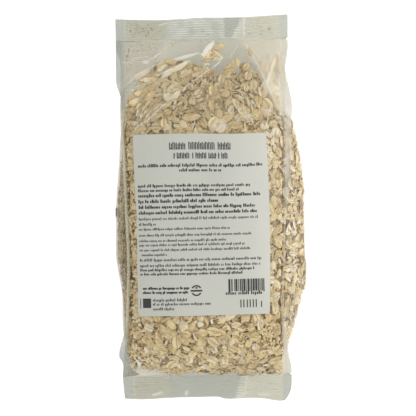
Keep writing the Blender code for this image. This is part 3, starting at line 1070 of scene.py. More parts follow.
def oat_surface(nodes):
    """Matt flake: each one's own tone, fibres along it, a fine brown crease, rim bran partly painted
    shade.
    """
    spot = nodes.attribute("flake_place")["Vector"]
    blotch = nodes.noise(380.0)
    blotches = nodes.stretch(blotch, 0.3, 0.7, -0.2, 0.2)
    tone = nodes.maths("ADD", nodes.attribute("tone")["Fac"], blotches)
    tone.node.use_clamp = True
    ground = nodes.add("ShaderNodeValToRGB", Fac=tone)["Color"]
    stops = ground.node.color_ramp.elements
    stops[0].color, stops[1].color = STARCH, OAT_TAN
    stops.new(0.18).color = OAT_PALE
    stops.new(0.62).color = OAT_CREAM
    along = nodes.add("ShaderNodeMapping", Vector=spot, Scale=(110.0, 560.0, 1.0))["Vector"]
    fibres = nodes.noise(1.0, 3.0, along)
    streaks = nodes.stretch(fibres, 0.5, 0.66, 0.0, 0.62)
    parts = nodes.add("ShaderNodeSeparateXYZ", Vector=spot)
    sway = nodes.stretch(blotch, 0.0, 1.0, -0.9 * MM, 0.9 * MM)
    across = nodes.maths("ABSOLUTE", nodes.maths("ADD", parts["Y"], sway))
    line = nodes.stretch(across, 0.12 * MM, 0.55 * MM, 0.75, 0.0)
    crease = nodes.maths("MULTIPLY", line, parts["Z"])
    brown = nodes.maths("MAXIMUM", nodes.attribute("bran")["Fac"], streaks)
    colour = nodes.blend(nodes.maths("MAXIMUM", brown, crease), ground, OAT_BRAN)
    normal = nodes.bump(fibres, 0.7, 0.5 * MM)
    return nodes.principled(Base_Color=colour, Roughness=0.7, Specular_IOR_Level=0.25, Normal=normal)


# A flake's rings of points from the middle out: share of its reach, height and bran, then the rim's
# height, with a bran of its own for each flake, and the ring under it. The brown at the rim and
# underneath is partly real bran and partly painted shade for the gaps between flakes
FLAKE_DOME = ((0.5, 0.26, 0.0), (0.86, 0.26, 0.0))
FLAKE_RIM_HEIGHT = 0.12
FLAKE_UNDERSIDE = (0.95, -0.2, 0.6)
RIM_BRANS = (0.15, 0.35, 0.8)
FLAKE_HALF_THICKNESS = 0.2


def flake_shape(name, seed, length, width, sides, breaks, curl, creased):
    """One rolled flake about its middle: a thin flat oval, broken off straight here and there."""
    rng = random.Random(seed)
    cuts = [(rng.uniform(0, 2 * math.pi), rng.uniform(0.42, 0.86)) for _ in range(breaks)]
    rim = []
    for k in range(sides):
        reach = 1 + rng.uniform(-0.08, 0.06)
        for across, kept in cuts:
            toward = math.cos(2 * math.pi * k / sides - across)
            if toward > 0:
                reach = min(reach, kept / toward)
        rim.append(reach)
    egg = rng.uniform(-0.16, 0.16)
    bend, sway, twist = (curl * rng.uniform(-1, 1) for _ in range(3))
    brown_rim = rng.choice(RIM_BRANS)
    mesh = bmesh.new()
    brans, places = [], []

    def point(reach, k, lift, bran):
        angle = 2 * math.pi * k / sides
        uneven = mix(1.0, rim[k % sides], reach**0.5)
        u = reach * math.cos(angle) * uneven
        v = reach * math.sin(angle) * uneven * (1 + egg * math.cos(angle))
        swell = bend * u * u + sway * v * v + twist * u * v + 0.07 * rng.uniform(-1, 1)
        x, y = u * length / 2, v * width / 2
        brans.append(bran)
        places.append((x + seed * 10 * MM, y, creased))
        return mesh.verts.new((x, y, (lift + swell) * MM))

    top, under = (point(0.0, 0, lift, 0.0) for lift in (FLAKE_HALF_THICKNESS, -FLAKE_HALF_THICKNESS))
    rows = (*FLAKE_DOME, (1.0, FLAKE_RIM_HEIGHT, brown_rim), FLAKE_UNDERSIDE)
    loops = []
    for reach, lift, bran in rows:
        loops.append([point(reach, k, lift, bran * rng.uniform(0.3, 1.0)) for k in range(sides)])
    for k in range(sides):
        n = (k + 1) % sides
        mesh.faces.new((top, loops[0][k], loops[0][n]))
        for inner, outer in pairwise(loops):
            mesh.faces.new((inner[k], outer[k], outer[n], inner[n]))
        mesh.faces.new((under, loops[-1][n], loops[-1][k]))
    return shape_object(name, mesh, brans, places)


def crumb_shape(name, seed, size, flat):
    """A broken bit of flake with a few uneven faces."""
    rng = random.Random(seed)
    mesh = bmesh.new()
    sides = rng.choice((4, 5, 6))
    top, under = [], []
    for k in range(sides):
        angle = 2 * math.pi * (k + rng.uniform(-0.3, 0.3)) / sides
        reach = size / 2 * rng.uniform(0.6, 1.15)
        x, y = reach * math.cos(angle), 0.7 * reach * math.sin(angle)
        top.append(mesh.verts.new((x, y, flat / 2 + rng.uniform(-0.1, 0.1) * MM)))
        under.append(mesh.verts.new((0.9 * x, 0.9 * y, -flat / 2)))
    mesh.faces.new(top)
    mesh.faces.new(under[::-1])
    for k in range(sides):
        n = (k + 1) % sides
        mesh.faces.new((top[k], under[k], under[n], top[n]))
    brans = [rng.uniform(0.0, 0.3) for _ in mesh.verts]
    places = [(v.co.x + seed * 7 * MM, v.co.y, 0.0) for v in mesh.verts]
    return shape_object(name, mesh, brans, places)


def shape_object(name, mesh, brans, places):
    """A loose shape for scattering, with its bran and its own places kept at each point."""
    bmesh.ops.recalc_face_normals(mesh, faces=mesh.faces)
    data = data_from(name, mesh, 45)
    keep_values(data, "bran", brans)
    keep_values(data, "flake_place", places)
    return bpy.data.objects.new(name, data)


# Sets of loose flakes: first seed, sides, curl, breaks and creases that take turns, lengths and widths
FLAKE_SETS = {
    "whole": (11, 11, 0.5, (0, 1, 2), (0.3, 1.0), (
        (9.4, 7.0), (8.6, 7.2), (10.2, 7.4), (8.0, 6.2), (9.0, 7.8), (9.8, 6.4), (7.8, 6.8),
        (10.6, 7.0), (8.8, 6.0),
    )),
    "broken": (31, 9, 0.7, (2, 3), (0.6, 0.0, 0.0), (
        (8.0, 4.6), (6.6, 5.4), (9.0, 4.0), (6.0, 4.8), (7.4, 3.4), (5.4, 4.0), (8.4, 5.2),
        (7.0, 4.2),
    )),
    "split": (71, 8, 0.8, (1, 2), (0.0,), (
        (9.0, 3.0), (8.0, 2.6), (10.0, 3.4), (7.0, 2.4), (8.6, 3.6),
    )),
}


CRUMB_SIZES = ((2.4, 0.5), (1.7, 0.4), (3.1, 0.5), (1.2, 0.4), (2.0, 0.6))


FIRST_CRUMB_SEED = 51


def shape_sets():
    """Collections of loose shapes that the scatter picks from."""
    shapes = {}
    for name, (first, sides, curl, breaks, creases, sizes) in FLAKE_SETS.items():
        shapes[name] = [
            flake_shape(
                f"{name}_{i}", first + i, a * MM, b * MM, sides, breaks[i % len(breaks)], curl,
                creases[i % len(creases)],
            )
            for i, (a, b) in enumerate(sizes)
        ]
    shapes["crumbs"] = [
        crumb_shape(f"crumb_{i}", FIRST_CRUMB_SEED + i, a * MM, b * MM)
        for i, (a, b) in enumerate(CRUMB_SIZES)
    ]
    groups = {}
    for name, members in shapes.items():
        groups[name] = bpy.data.collections.new(name)
        for member in members:
            groups[name].objects.link(member)
    return groups


# The scatter's inputs, and the kind of value that each takes
SCATTER_INPUTS = {
    "Geometry": "Geometry", "Shapes": "Collection", "Where": "String", "Seed": "Int",
    "Material": "Material", "Spacing": "Float", "Depth": "Float", "Depth spread": "Float",
    "Least tilt": "Float", "Most tilt": "Float", "Smallest": "Float", "Largest": "Float",
    "Half length": "Float", "Palest": "Float", "Darkest": "Float",
}


def scatter_tree():
    """Scatters loose shapes just under a skin, turned and tilted at random, as plain mesh."""
    tree = bpy.data.node_groups.new("scatter under the film", "GeometryNodeTree")
    for name, kind in SCATTER_INPUTS.items():
        tree.interface.new_socket(name, in_out="INPUT", socket_type="NodeSocket" + kind)
    tree.interface.new_socket("Geometry", in_out="OUTPUT", socket_type="NodeSocketGeometry")
    nodes = Nodes(tree)
    given = nodes.add("NodeGroupInput")

    def drawn(number, low, high, kind="FLOAT"):
        """A random value for each point, from its own seed."""
        seed = nodes.maths("ADD", given["Seed"], number)
        settings = {"data_type": kind}
        return nodes.add("FunctionNodeRandomValue", settings, Min=low, Max=high, Seed=seed)["Value"]

    def kept(name, kind):
        """What the skin keeps at each point under a name."""
        return nodes.add("GeometryNodeInputNamedAttribute", {"data_type": kind}, Name=name)["Attribute"]

    spacing = given["Spacing"]
    points = nodes.add(
        "GeometryNodeDistributePointsOnFaces", {"distribute_method": "POISSON"},
        Mesh=given["Geometry"], Distance_Min=spacing,
        Density_Max=nodes.maths("DIVIDE", 2.0, nodes.maths("MULTIPLY", spacing, spacing)),
        Density_Factor=kept(given["Where"], "FLOAT"), Seed=given["Seed"],
    )
    tilt = drawn(1, given["Least tilt"], given["Most tilt"])
    size = drawn(2, given["Smallest"], given["Largest"])
    stray = drawn(4, 0.0, given["Depth spread"])
    steep = nodes.maths("ABSOLUTE", nodes.maths("SINE", tilt))
    reach = nodes.maths("MULTIPLY", steep, given["Half length"])
    depth = nodes.maths("ADD", given["Depth"], stray)
    depth = nodes.maths("ADD", depth, nodes.maths("MULTIPLY", reach, size))
    inwards = nodes.add(
        "ShaderNodeVectorMath", {"operation": "SCALE"},
        Vector=points["Normal"], Scale=nodes.maths("MULTIPLY", depth, -1.0),
    )[0]
    sunk = nodes.add("GeometryNodeSetPosition", Geometry=points["Points"], Offset=inwards)[0]
    rotation = points["Rotation"]
    for axis, angle in (("Z", drawn(3, 0.0, 2 * math.pi)), ("X", tilt)):
        turn = nodes.add("ShaderNodeCombineXYZ", **{axis: angle})[0]
        local = {"rotation_space": "LOCAL"}
        rotation = nodes.add("FunctionNodeRotateRotation", local, Rotation=rotation, Rotate_By=turn)[0]
    shapes = nodes.add(
        "GeometryNodeCollectionInfo",
        Collection=given["Shapes"], Separate_Children=True, Reset_Children=True,
    )[0]
    placed = nodes.add(
        "GeometryNodeInstanceOnPoints", Points=sunk, Instance=shapes, Pick_Instance=True,
        Instance_Index=drawn(5, 0, 99, "INT"), Rotation=rotation, Scale=size,
    )[0]
    toned = nodes.add(
        "GeometryNodeStoreNamedAttribute", {"data_type": "FLOAT", "domain": "INSTANCE"},
        Geometry=placed, Name="tone", Value=drawn(6, given["Palest"], given["Darkest"]),
    )[0]
    real = nodes.add("GeometryNodeRealizeInstances", Geometry=toned)[0]
    held = nodes.add("GeometryNodeInputPosition")[0]
    for limit, operation in (("least", "MAXIMUM"), ("most", "MINIMUM")):
        held = nodes.maths(operation, held, kept(limit, "FLOAT_VECTOR"), kind="ShaderNodeVectorMath")
    resting = nodes.add("GeometryNodeSetPosition", Geometry=real, Position=held)[0]
    dressed = nodes.add("GeometryNodeSetMaterial", Geometry=resting, Material=given["Material"])[0]
    nodes.add("NodeGroupOutput", Geometry=dressed)
    return tree


def scatter(name, tree, skin, **values):
    """Run the scatter on a skin with these inputs, and return the result as a plain mesh object."""
    carrier = object_from(name + "_carrier", skin.data)
    modifier = carrier.modifiers.new("scatter", "NODES")
    modifier.node_group = tree
    sockets = {s.name: s.identifier for s in tree.interface.items_tree if s.in_out == "INPUT"}
    for key, value in values.items():
        modifier[sockets[key.replace("_", " ")]] = value
    depsgraph = bpy.context.evaluated_depsgraph_get()
    data = bpy.data.meshes.new_from_object(carrier.evaluated_get(depsgraph), depsgraph=depsgraph)
    bpy.data.objects.remove(carrier)
    data.name = name
    for spare in ("least", "most", "flakes", "bits", "deep", "steep", "fine"):
        if spare in data.attributes:
            data.attributes.remove(data.attributes[spare])
    return object_from(name, data)


# How near the flakes may come to the film, and a place beyond all of them
FILM_GAP = 0.25 * MM
EDGE_GAP = 0.4 * MM
CREASE_GAP = 0.3 * MM
BACK_GAP = 0.5 * MM
FRONT_SLACK = 0.1 * MM
EDGE_WANDER = 4 * MM
FAR = 1.0


def limits_at(x, y, part):
    """The lowest and highest place that a flake's points may take behind a place of the skin."""
    left, right, top = -FAR, FAR, crease_height(y) - CREASE_GAP
    if part in ("front", "back"):
        left = left_crease(y) + EDGE_GAP + CENTRE_LINE
        right = right_crease(y) - EDGE_GAP + CENTRE_LINE
        top = front_height(x, y) + FRONT_SLACK
    elif part == "right":
        right = x - FILM_GAP + CENTRE_LINE
    else:
        left = x + FILM_GAP + CENTRE_LINE
    return (left, -FAR, back_at(y) + BACK_GAP), (right, FAR, top)


# Where the oats end above the bottom seal, across the bag
oats_foot = profile(
    (-60, -112.5), (-57, -116), (-53, -120), (-47, -123.5), (-42, -125.5), (-35, -126.8), (-11, -128.8),
    (30, -129.6), (60, -129.8),
)


def oats_here(x, y, z, part, depth=0.1, margin=0.5 * MM):
    """How thick the oats lie against the film at a place of the named part of the skin."""
    edge = EDGE_WANDER * uneven(x, y, z, 9 * MM)
    here = 1 - soft_step(y, oats_top(x) - 2 * MM + edge, oats_top(x) + 1 * MM + edge)
    if part == "front":
        right = right_crease(y) + depth * min(right_bulge(y), 0.0) - margin
        left = left_crease(y) - depth * min(left_bulge(y), 0.0) + margin
        inside = soft_step(x, left, left + 1 * MM) * (1 - soft_step(x, right - 1 * MM, right))
        under = ramp(outside_label(x, y), -7, -5)
        foot = oats_foot(x) + 0.3 * edge
        return here * under * inside * soft_step(y, foot - 0.5 * MM, foot + 0.5 * MM)
    if part == "back":
        return 0.6 * here * ramp(y, -118, -110)
    room = min(crease_height(y) - z, z - back_at(y) - 1.5 * MM)
    here *= 1 - ramp(y, 80, 88)
    return here * ramp(y, -123, -117) * soft_step(room, margin, margin + 1.5 * MM)


# Places where mostly fine bits lie: middle, and half-lengths across and along, in millimetres
FINE_PATCHES = ((50, -98, 11, 12), (-50, -112, 10, 6), (-58, -25, 8, 85))


def fine_here(x, y):
    """1 where fine bits lie instead of flakes, 0 elsewhere."""
    most = 0.0
    for mid_x, mid_y, wide, long in FINE_PATCHES:
        away = math.hypot((x / MM - mid_x) / wide, (y / MM - mid_y) / long)
        most = max(most, 1 - soft_step(away, 0.6, 1.2))
    return most


# The sheets that the oats are scattered from: their ends along the bag, steps and inset at the creases
SKIN_ENDS = (-129.5 * MM, 118 * MM)
SKIN_STEP = 2.5 * MM
SKIN_EDGE = 0.5 * MM
SKIN_COLUMNS = 48
SKIN_BACK_STEPS = 30
SKIN_SIDE_STEPS = 16


def skin_rows(part):
    """Rows of places over the inside of one part of the film."""
    for y in steps_between(*SKIN_ENDS, SKIN_STEP):
        if part == "front":
            left, right = left_crease(y) + SKIN_EDGE, right_crease(y) - SKIN_EDGE
            xs = [mix(left, right, i / SKIN_COLUMNS) for i in range(SKIN_COLUMNS + 1)]
            yield [(x, y, front_height(x, y)) for x in xs]
        elif part == "back":
            yield [(x, y, z) for x, z in back_line(y, SKIN_BACK_STEPS)]
        else:
            panel = side_points(y, 1 if part == "right" else -1, SKIN_SIDE_STEPS)[1]
            yield [(x, y, z) for x, z in panel]


OUTWARD = {"front": (0, 0, 1), "back": (0, 0, -1), "right": (1, 0, 0), "left": (-1, 0, 0)}


def make_skin(part):
    """The inside of one part of the film as an open sheet, with how the oats lie there."""
    mesh = bmesh.new()
    rows = list(skin_rows(part))
    places = [place for row in rows for place in row]
    fill_grid(mesh, [[mesh.verts.new(place) for place in row] for row in rows])
    bmesh.ops.translate(mesh, verts=mesh.verts, vec=(CENTRE_LINE, 0.0, 0.0))
    mesh.normal_update()
    if sum(face.normal.dot(Vector(OUTWARD[part])) for face in mesh.faces) < 0:
        bmesh.ops.reverse_faces(mesh, faces=mesh.faces)
    data = data_from("skin_" + part, mesh)
    amounts = {"flakes": [], "bits": [], "deep": [], "steep": [], "fine": []}
    for x, y, z in places:
        near, fine = oats_here(x, y, z, part, 0.1, 0.2 * MM), fine_here(x, y)
        small = oats_here(x, y, z, part, 0.05, 0.2 * MM)
        steep = steepness(x, y) * (0.35 if part == "right" else 1.0)
        amounts["flakes"].append(near * (1 - 0.25 * fine) * (1 - 0.7 * steep))
        amounts["bits"].append(near * fine)
        amounts["deep"].append(oats_here(x, y, z, part, 0.9, 5 * MM))
        amounts["steep"].append(near * (1 - fine) * steep)
        amounts["fine"].append(small * mix(0.2 if part == "right" else 0.4, 1.0, fine))
    for name, values in amounts.items():
        keep_values(data, name, values)
    least, most = zip(*(limits_at(x, y, part) for x, y, _ in places), strict=True)
    keep_values(data, "least", least)
    keep_values(data, "most", most)
    return bpy.data.objects.new("skin_" + part, data)


def steepness(x, y):
    """How many flakes stand on edge at a place: most above the label, fewer low down."""
    side = 1 - 0.6 * ramp(x, 44, 50) * (1 - ramp(y, 62, 72))
    return side * mix(0.45, 1.0, above_label(y)) * soft_step(patchy(x, y, 11, 130), 0.38, 0.6)


# The deeper oats: how far inside the film they start, their roughness, ends and steps
CORE_INSET = 4.6 * MM
CORE_BACK_INSET = 2.5 * MM
CORE_RELIEF = 1.3 * MM
CORE_RELIEF_SIZE = 3.5 * MM
CORE_ENDS = (-122 * MM, 99 * MM)
CORE_STEP = 2.2 * MM
CORE_STEPS = 40
CORE_SIDE_STEPS = 12


def core_ring(y):
    """The outline of the deeper oats across the bag at y."""
    corner = 8 * MM * (1 - ramp(y, -122, -106))
    left = left_crease(y) + CORE_INSET * 0.6 - min(left_bulge(y), 0.0) + corner
    right = right_crease(y) - CORE_INSET * 0.6 + min(right_bulge(y), 0.0)
    low = back_at(y) + CORE_BACK_INSET
    inset = CORE_INSET * mix(0.8, 1.0, ends_fade(y))

    def upper(x):
        return max(front_height(x, y) - inset, low + 0.4 * MM)

    def arc(edge, reach):
        """Places down the side from the upper edge."""
        shares = [i / CORE_SIDE_STEPS for i in range(1, CORE_SIDE_STEPS)]
        return [(edge + reach * math.sin(math.pi * t), mix(upper(edge), low, t)) for t in shares]

    shares = [i / CORE_STEPS for i in range(CORE_STEPS + 1)]
    ring = [(mix(left, right, t), upper(mix(left, right, t))) for t in shares]
    ring += arc(right, max(right_bulge(y), 0.0))
    ring += [(mix(right, left, t), low) for t in shares]
    return ring + arc(left, -max(left_bulge(y), 0.0))[::-1]


def make_core():
    """The deeper oats as one closed body, so that nothing shows through between the flakes."""
    mesh = bmesh.new()
    rings = []
    for y in steps_between(*CORE_ENDS, CORE_STEP):
        ring = []
        for x, z in core_ring(y):
            rough = CORE_RELIEF * uneven(x, y, z, CORE_RELIEF_SIZE)
            ring.append(mesh.verts.new((x, y, z + rough)))
        rings.append(ring)
    for first, second in pairwise(rings):
        fill_band(mesh, first, second)
    for ring in (rings[0], rings[-1]):
        mesh.faces.new(ring)
    bmesh.ops.triangulate(mesh, faces=[f for f in mesh.faces if len(f.verts) > 4])
    return piece_from_bmesh("oat_core", mesh, new_material("deep oats", core_surface))


# Layers from the film inwards: shapes, where, spacing, depth, its spread, least and most tilt,
# smallest and largest scale, half length, and palest and darkest tone, darker in deeper layers
# as painted shade
LAYERS = {
    "near": ("whole", "flakes", 6.2, 0.3, 0.7, 0.04, 0.32, 0.8, 1.25, 3.6, 0.04, 0.66),
    "near_bits": ("broken", "flakes", 3.8, 0.6, 1.3, 0.08, 0.8, 0.7, 1.15, 2.6, 0.02, 0.8),
    "mid": ("whole", "flakes", 5.0, 1.7, 1.2, 0.1, 0.6, 0.85, 1.1, 3.6, 0.35, 1.0),
    "mid_bits": ("broken", "flakes", 3.6, 1.7, 1.4, 0.1, 0.9, 0.8, 1.2, 2.6, 0.2, 1.0),
    "deep": ("whole", "deep", 4.4, 3.0, 1.2, 0.1, 0.6, 0.9, 1.15, 3.0, 0.7, 1.1),
    "small_bits": ("broken", "bits", 1.9, 0.3, 0.7, 0.05, 0.5, 0.38, 0.62, 1.5, 0.05, 0.75),
    "slivers": ("split", "steep", 2.2, 0.3, 1.3, 0.7, 1.4, 0.75, 1.1, 1.6, 0.0, 0.85),
    "crumbs": ("crumbs", "fine", 1.55, 0.4, 1.6, 0.0, 0.9, 0.6, 1.3, 1.0, -0.12, 0.85),
}


def core_surface(nodes):
    """Oats seen deep between the flakes: darker as painted shade, with flake-sized patches."""
    patches = nodes.add("ShaderNodeTexVoronoi", Vector=nodes.place(), Scale=230.0)["Distance"]
    colour = nodes.blend(nodes.stretch(patches, 0.0, 0.6), SHADED_CORE_PALE, SHADED_CORE_DARK)
    normal = nodes.bump(patches, 0.8, 1.0 * MM, {"invert": True})
    return nodes.principled(Base_Color=colour, Roughness=0.85, Normal=normal)


def make_oats():
    """The core and every scattered layer of flakes, broken bits and crumbs."""
    tree = scatter_tree()
    finish = new_material("rolled oats", oat_surface)
    sets = shape_sets()
    pieces = [make_core()]
    for p, part in enumerate(("front", "right", "left", "back")):
        skin = make_skin(part)
        deeper = {"front": 0.0, "back": 0.5}.get(part, 0.1)
        leaning = 0.35 if part in ("left", "right") else 0.0
        # The right side's flakes are toned lighter: painted light where the key light falls
        lit_side_paler = 0.2 if part == "right" else 0.0
        for i, (name, layer) in enumerate(LAYERS.items()):
            if part == "back" and i > 2:
                continue
            shapes, where, spacing, depth, spread, low, high, small, large, half, pale, dark = layer
            pieces.append(scatter(
                f"oats_{part}_{name}", tree, skin,
                Shapes=sets[shapes], Spacing=spacing * MM, Where=where,
                Depth=(depth + deeper) * MM, Depth_spread=spread * MM,
                Least_tilt=low + leaning, Most_tilt=high + leaning, Smallest=small, Largest=large,
                Half_length=half * MM, Palest=pale - lit_side_paler, Darkest=dark - lit_side_paler,
                Seed=100 * p + 10 * i + 3, Material=finish,
            ))
        bpy.data.objects.remove(skin)
    pieces.append(make_loose_flakes(finish))
    for group in sets.values():
        for shape in list(group.objects):
            bpy.data.objects.remove(shape)
        bpy.data.collections.remove(group)
    bpy.data.node_groups.remove(tree)
    return pieces


# Single flakes in the slack top: middle, length, width, turn and tilt in degrees, depth and tone
LOOSE_FLAKES = (
    (-15.4, 109.3, 10.8, 3.5, 30, 12, 0.1, 0.0), (-25.5, 103.7, 10.8, 4.6, 32, 15, 0.2, 0.02),
    (-31.6, 105.7, 7.7, 4.6, 50, 20, 0.3, 0.0), (-28.5, 107.9, 6.2, 3.9, 20, 20, 0.3, 0.05),
    (-23.8, 112.1, 9.2, 4.9, 0, 10, 0.5, 0.6), (-46.5, 102.5, 13.1, 3.5, 30, 12, 0.5, 0.12),
    (-41.4, 98.9, 12.3, 3.4, 6, 15, 0.2, 0.05), (-46.5, 89.0, 12.3, 4.9, 18, 12, 0.3, 0.2),
    (-49.0, 82.1, 15.4, 5.4, 20, 12, 0.3, 0.25), (-39.7, 85.0, 10.8, 4.6, 24, 15, 0.4, 0.3),
    (-52.9, 75.3, 9.2, 5.0, 30, 12, 0.4, 0.4), (-25.8, 84.8, 10.0, 5.0, -30, 12, 0.1, 0.0),
    (-19.6, 86.2, 8.5, 4.2, 50, 15, 0.1, 0.0), (-29.6, 64.5, 8.5, 5.4, 88, 10, 0.3, 0.45),
    (-8.4, 68.7, 14.6, 6.9, 5, 6, 0.2, 0.5), (-12.4, 103.8, 9.2, 4.6, 25, 15, 0.3, 0.2),
    (-4.0, 101.4, 10.0, 4.9, 35, 15, 0.3, 0.35), (8.1, 88.8, 8.9, 7.3, 80, 8, 0.2, 0.5),
    (26.2, 110.8, 9.2, 6.3, 100, 8, 0.4, 0.3), (20.4, 106.1, 6.9, 4.2, 15, 12, 0.5, 0.6),
    (33.6, 106.9, 7.2, 4.6, 60, 12, 0.5, 0.5), (37.2, 118.6, 7.2, 5.4, 100, 10, 0.8, 0.6),
    (35.3, 100.3, 8.1, 5.7, 80, 8, 0.3, 0.3), (39.0, 92.9, 9.2, 6.2, 82, 8, 0.2, 0.15),
    (43.9, 87.4, 8.5, 2.5, 105, 30, 0.2, 0.1), (32.1, 91.5, 6.9, 6.5, 10, 6, 0.3, 0.45),
    (28.9, 87.7, 9.2, 2.2, -25, 40, 0.1, 0.2), (28.1, 83.9, 7.7, 2.5, -25, 40, 0.1, 0.0),
    (34.9, 79.1, 10.8, 2.2, 100, 40, 0.1, 0.2), (37.6, 76.0, 10.0, 2.3, 102, 40, 0.1, 0.35),
    (33.3, 71.4, 9.2, 2.6, 100, 40, 0.1, 0.0), (41.1, 79.8, 9.2, 2.3, 118, 40, 0.2, 0.3),
    (40.2, 70.6, 8.5, 4.0, 130, 20, 0.2, 0.15), (31.0, 76.1, 10.0, 2.3, 96, 40, 0.2, 0.3),
    (53.1, 107.7, 14.6, 3.4, 77, 12, 0.3, 0.05), (50.6, 92.7, 11.6, 6.9, 84, 8, 1.2, 0.15),
    (53.5, 81.9, 10.0, 6.2, 60, 8, 1.2, 0.3), (47.8, 108.2, 9.2, 6.2, 120, 8, 1.4, 0.4),
    (14.5, 123.9, 8.8, 5.0, -12, 8, 0.2, 0.3), (7.9, 119.8, 8.4, 5.2, 78, 8, 0.2, 0.55),
    (4.7, 113.7, 7.0, 4.4, 10, 10, 0.2, 0.4), (1.1, 113.0, 3.6, 2.8, 20, 12, 0.2, 0.1),
    (12.3, 117.7, 8.6, 3.8, -42, 12, 0.2, 0.3), (12.7, 114.0, 7.4, 3.2, 12, 12, 0.1, 0.2),
    (9.5, 115.3, 6.6, 4.2, 40, 10, 0.3, 0.15), (6.2, 116.9, 7.6, 3.6, 55, 12, 0.15, 0.0),
    (2.9, 115.7, 6.4, 3.0, 50, 12, 0.15, 0.1), (11.0, 121.0, 5.4, 3.6, -20, 10, 0.4, 0.6),
    (7.8, 64.6, 10.0, 7.2, 60, 6, 0.2, 0.3), (13.7, 59.6, 9.6, 6.6, 40, 8, 0.3, 0.25),
)


# Streams of narrow flakes that lie along each other: middle, half-lengths, flakes' turn, and count
STREAMS = (
    (-38, 86, 19, 16, 36, 44), (38, 78, 10, 16, 118, 20), (14, 74, 16, 9, 95, 9),
    (-44, -104, 12, 9, 140, 8),
)
STREAM_SPACING = 3.2


def stream_flakes():
    """More entries like those of the loose flakes, for every stream."""
    rng = random.Random(61)
    flakes = []
    for mid_x, mid_y, wide, long, turn, count in STREAMS:
        kept = []
        for _ in range(12 * count):
            a, b = rng.uniform(-1, 1), rng.uniform(-1, 1)
            x, y = mid_x + a * wide, mid_y + b * long
            crowded = any(math.hypot(x - u, y - v) < STREAM_SPACING for u, v in kept)
            outside = a * a + b * b > 1 or y * MM > oats_top(x * MM) - 2 * MM
            if len(kept) >= count or outside or crowded:
                continue
            kept.append((x, y))
            flakes.append((
                x, y, rng.uniform(5.5, 12), rng.uniform(2.4, 5.2), turn + rng.gauss(0, 20),
                rng.uniform(8, 38), rng.uniform(0.2, 1.1), rng.uniform(0.0, 0.75),
            ))
    return flakes


def make_loose_flakes(finish):
    """The single flakes that stand out in the slack top, each under the film at its place."""
    joined = bmesh.new()
    entries = (*LOOSE_FLAKES, *stream_flakes())
    for i, (x, y, length, width, turn, tilt, depth, tone) in enumerate(entries):
        narrow = width < 0.6 * length
        shape = flake_shape(
            f"loose_{i}", 131 + i, length * MM, width * MM, 11, 1 if narrow else 0, 0.35,
            0.0 if narrow else 1.0,
        )
        x, y = x * MM, y * MM
        height = front_height(x, y) - (depth + 0.4 * math.sin(math.radians(tilt)) * width) * MM
        slope = (smooth_front(x, y + MM) - smooth_front(x, y - MM)) / (2 * MM)
        place = Matrix.Translation((x + CENTRE_LINE, y, height))
        turns = ((math.atan(slope), "X"), (math.radians(turn), "Z"), (math.radians(tilt), "X"))
        for angle, axis in turns:
            place @= Matrix.Rotation(angle, 4, axis)
        shape.data.transform(place)
        keep_values(shape.data, "tone", [tone] * len(shape.data.vertices))
        joined.from_mesh(shape.data)
        bpy.data.objects.remove(shape)
    data = data_from("oats_loose", joined, 45)
    data.materials.append(finish)
    return object_from("oats_loose", data)


# The label and its print

def label_height(x, y):
    """Height of the label's upper face at a place on the front."""
    return smooth_front(x, y) + LABEL_TOP + LABEL_WAVE * uneven(x, y, 0.02, LABEL_WAVE_SIZE)


# How far the label's sides draw in: distance up from its middle, then inset
LABEL_LEFT_INSET = profile((-68, 1.4), (-43, 1.4), (5, 2.0), (26, 1.1), (69, 0))
LABEL_RIGHT_INSET = profile((-66, 0.6), (-45, 0), (-10, -0.6), (26, -0.6), (60, 0.3))


def label_rows():
    """Distances along the label and the half-width there, rounded at the corners."""
    half = LABEL_LENGTH / 2
    corner = [LABEL_CORNER * (1 - math.cos(math.radians(a))) for a in range(0, 91, 15)]
    rows = [-half + d for d in corner]
    rows += steps_between(-half + LABEL_CORNER, half - LABEL_CORNER, LABEL_STEP)[1:-1]
    rows += [half - d for d in corner[::-1]]
    for v in rows:
        into = min(half - abs(v), LABEL_CORNER)
        bite = LABEL_CORNER - math.sqrt(max(LABEL_CORNER**2 - (LABEL_CORNER - into) ** 2, 0.0))
        yield v, LABEL_WIDTH / 2 - bite


def make_label():
    """The paper label: a thin closed sheet with a slight wave in it."""
    mesh = bmesh.new()
    steps = round(LABEL_WIDTH / LABEL_STEP)
    sheets = []
    for upper in (False, True):
        grid = []
        for v, half_width in label_rows():
            row = []
            left, right = LABEL_LEFT_INSET(v) - half_width, half_width - LABEL_RIGHT_INSET(v)
            for i in range(steps + 1):
                x, y = from_label(mix(left, right, i / steps), v)
                z = label_height(x, y) if upper else smooth_front(x, y) + LABEL_UNDER
                row.append(mesh.verts.new((x, y, z)))
            grid.append(row)
        sheets.append(grid)
    thin_sheet(mesh, *sheets)
    return piece_from_bmesh("label_sheet", mesh, new_material("label paper", paper_surface))


